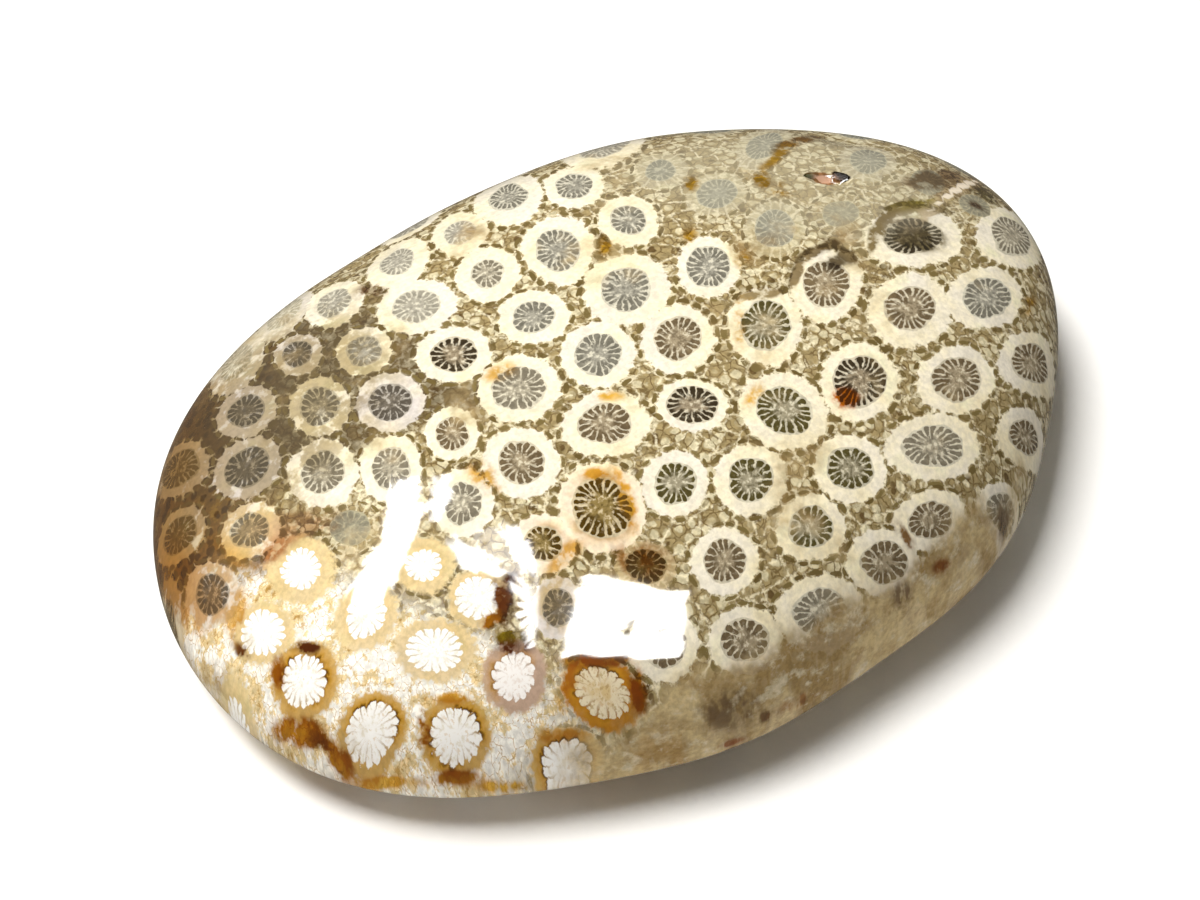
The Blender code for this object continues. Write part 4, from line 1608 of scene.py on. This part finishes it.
@dataclass
class Studio:
    """The floor and the lights."""

    view: PhotoView
    floor_half: float = 1.2
    floor_colour: Colour = (0.93, 0.93, 0.93)
    distance: float = 0.6
    card_steps: int = 6
    card_patches: float = 0.03
    card_grain: float = 4.0
    card_raggedness: float = 4.0
    world_strength: float = 0.1
    world_colour: Colour = (1.0, 0.92, 0.8)
    mirrored_strength: float = 0.12
    key_radiance: float = 22.0
    key_size: float = 0.40
    key_colour: Colour = (1.0, 0.98, 0.94)
    key_place: Vector = field(default_factory=lambda: Vector((-0.20, 0.24, 0.79)))
    card_radiance: float = 30.0
    cards: tuple[Card, ...] = (
        Card("window_right", ((584, 572), (689, 593), (681, 657), (562, 656), (573, 610))),
        Card(
            "window_left",
            (
                (394, 478),
                (421, 477),
                (419, 498),
                (425, 515),
                (413, 545),
                (400, 565),
                (391, 590),
                (368, 610),
                (342, 602),
                (367, 562),
                (381, 534),
                (391, 505),
            ),
        ),
        Card("window_strip", ((429, 480), (450, 476), (449, 503), (438, 517), (427, 522), (432, 500)), 0.7),
        Card(
            "window_lobe",
            (
                (444, 532),
                (456, 541),
                (470, 548),
                (484, 553),
                (500, 560),
                (507, 577),
                (483, 574),
                (466, 569),
                (455, 557),
            ),
        ),
        Card(
            "window_arc",
            (
                (499, 517),
                (518, 530),
                (531, 549),
                (535, 576),
                (524, 576),
                (519, 555),
                (508, 538),
                (497, 527),
            ),
        ),
        Card(
            "window_veil",
            (
                (468, 546),
                (486, 524),
                (498, 527),
                (508, 538),
                (519, 555),
                (524, 576),
                (507, 577),
                (500, 560),
                (484, 553),
            ),
            0.3,
        ),
        Card("window_limb", ((510, 574), (522, 574), (529, 608), (533, 647), (525, 649), (519, 626), (514, 596))),
        Card("window_edge", ((526, 574), (535, 574), (535, 642), (531, 616)), 0.5),
        Card("chip_shade", ((633, 618), (637, 625), (632, 634), (624, 637), (625, 629), (630, 627)), 0.0, 0.97),
    )

    def floor(self) -> bpy.types.Object:
        """The pale floor under the stone, which the polish doesn't mirror."""
        bm = bmesh.new()
        bmesh.ops.create_grid(bm, x_segments=1, y_segments=1, size=self.floor_half)
        mesh = bpy.data.meshes.new("floor")
        bm.to_mesh(mesh)
        bm.free()
        floor = bpy.data.objects.new("floor", mesh)
        bpy.context.scene.collection.objects.link(floor)
        material = bpy.data.materials.new("pale_floor")
        material.use_nodes = True
        shader = material.node_tree.nodes["Principled BSDF"]
        shader.inputs["Base Color"].default_value = (*self.floor_colour, 1.0)
        shader.inputs["Roughness"].default_value = 0.6
        mesh.materials.append(material)
        floor.visible_glossy = False
        return floor

    def mirror_way(self, tree: BVHTree, x: float, y: float) -> tuple[Vector, Vector]:
        """Where a pixel's ray meets the stone, and where the polish sends it.

        Args:
            tree: The stone's faces.
            x: Pixels from the photograph's left edge.
            y: Pixels from its top edge.

        Returns:
            The place and the mirrored direction.
        """
        ray = self.view.ray(x, y)
        place, normal, _, _ = tree.ray_cast(self.view.place(), ray)
        return place, ray.reflect(normal)

    def card(self, tree: BVHTree, card: Card) -> bpy.types.Object:
        """Cuts a bright card so that the polish mirrors it inside an outline of the photograph.

        Args:
            tree: The stone's faces.
            card: The card's name and the corners of its reflection.

        Returns:
            The card's object, which only the polish sees.
        """
        bm = bmesh.new()
        for i, (x, y) in enumerate(card.corners):
            to_x, to_y = card.corners[(i + 1) % len(card.corners)]
            for step in range(self.card_steps):
                share = step / self.card_steps
                at_x, at_y = x + (to_x - x) * share, y + (to_y - y) * share
                ragged = noise.noise_vector(Vector((at_x, at_y, 0.0)) / self.card_grain) * self.card_raggedness
                place, way = self.mirror_way(tree, at_x + ragged.x, at_y + ragged.y)
                bm.verts.new(place + way * self.distance * card.reach)
        bmesh.ops.contextual_create(bm, geom=bm.verts[:])
        bmesh.ops.triangulate(bm, faces=bm.faces[:])
        mesh = bpy.data.meshes.new(card.name)
        bm.to_mesh(mesh)
        bm.free()
        material = bpy.data.materials.new(card.name)
        material.use_nodes = True
        shader = material.node_tree.nodes["Principled BSDF"]
        shader.inputs["Base Color"].default_value = (0.0, 0.0, 0.0, 1.0)
        shader.inputs["Emission Color"].default_value = (1.0, 1.0, 1.0, 1.0)
        wiring = Wiring(material.node_tree)
        place = wiring.vector("SCALE", wiring.node("ShaderNodeTexCoord").outputs["Object"], scale=1.0 / MM)
        torn = wiring.noise(place, self.card_patches / MM, 5.0, 0.7).outputs[0]
        bright = self.card_radiance * card.share
        level = wiring.step(torn, 0.34, 0.39, bright * 0.1, bright)
        wiring.feed(shader.inputs["Emission Strength"], level)
        mesh.materials.append(material)
        piece = bpy.data.objects.new(card.name, mesh)
        bpy.context.scene.collection.objects.link(piece)
        for kind in ("camera", "diffuse", "transmission", "volume_scatter", "shadow"):
            setattr(piece, f"visible_{kind}", False)
        return piece

    def key(self) -> bpy.types.Object:
        """The large soft light from the upper left, which the polish doesn't mirror."""
        back = self.key_place.normalized()
        x_axis = Vector((0.0, 0.0, 1.0)).cross(back).normalized()
        size = (self.key_size, self.key_size)
        light = self.area("soft_key", self.key_place, (x_axis, back.cross(x_axis), back), size, self.key_radiance)
        light.data.color = self.key_colour
        light.visible_glossy = False
        return light

    def area(
        self,
        name: str,
        middle: Vector,
        axes: tuple[Vector, Vector, Vector],
        size: tuple[float, float],
        radiance: float,
    ) -> bpy.types.Object:
        """Adds an area light.

        Args:
            name: Its name.
            middle: Its place.
            axes: Its width, height and back directions.
            size: Its width and height.
            radiance: How bright its face is.

        Returns:
            The light's object.
        """
        data = bpy.data.lights.new(name, "AREA")
        data.shape = "RECTANGLE"
        data.size, data.size_y = size
        data.energy = radiance * math.pi * size[0] * size[1]
        light = bpy.data.objects.new(name, data)
        turn = Matrix((axes[0], axes[1], axes[2])).transposed()
        light.matrix_world = Matrix.Translation(middle) @ turn.to_4x4()
        bpy.context.scene.collection.objects.link(light)
        return light

    def build(self, stone: bpy.types.Object) -> None:
        """Adds the floor, the lights and the pale surroundings.

        Args:
            stone: The stone, which the windows are mirrored in.
        """
        self.floor()
        self.key()
        mesh = stone.data
        tree = BVHTree.FromPolygons([v.co for v in mesh.vertices], [p.vertices for p in mesh.polygons])
        for card in self.cards:
            self.card(tree, card)
            LOG.info("card %s", card.name)
        world = bpy.data.worlds.new("pale_room")
        world.use_nodes = True
        wiring = Wiring(world.node_tree)
        mirrored = wiring.node("ShaderNodeLightPath").outputs["Is Glossy Ray"]
        level = wiring.step(mirrored, 0.0, 1.0, self.world_strength, self.mirrored_strength)
        wiring.feed(world.node_tree.nodes["Background"].inputs["Color"], self.world_colour)
        wiring.feed(world.node_tree.nodes["Background"].inputs["Strength"], level)
        bpy.context.scene.world = world
        bpy.context.scene.view_settings.view_transform = "Standard"


def main() -> None:
    """Builds the stone, its coral and the studio round it."""
    logging.basicConfig(level=logging.INFO, format="%(message)s")
    view = PhotoView()
    view.build()
    stone = Stone(view).build()
    Studio(view).build(stone)


if __name__ == "__main__":
    main()
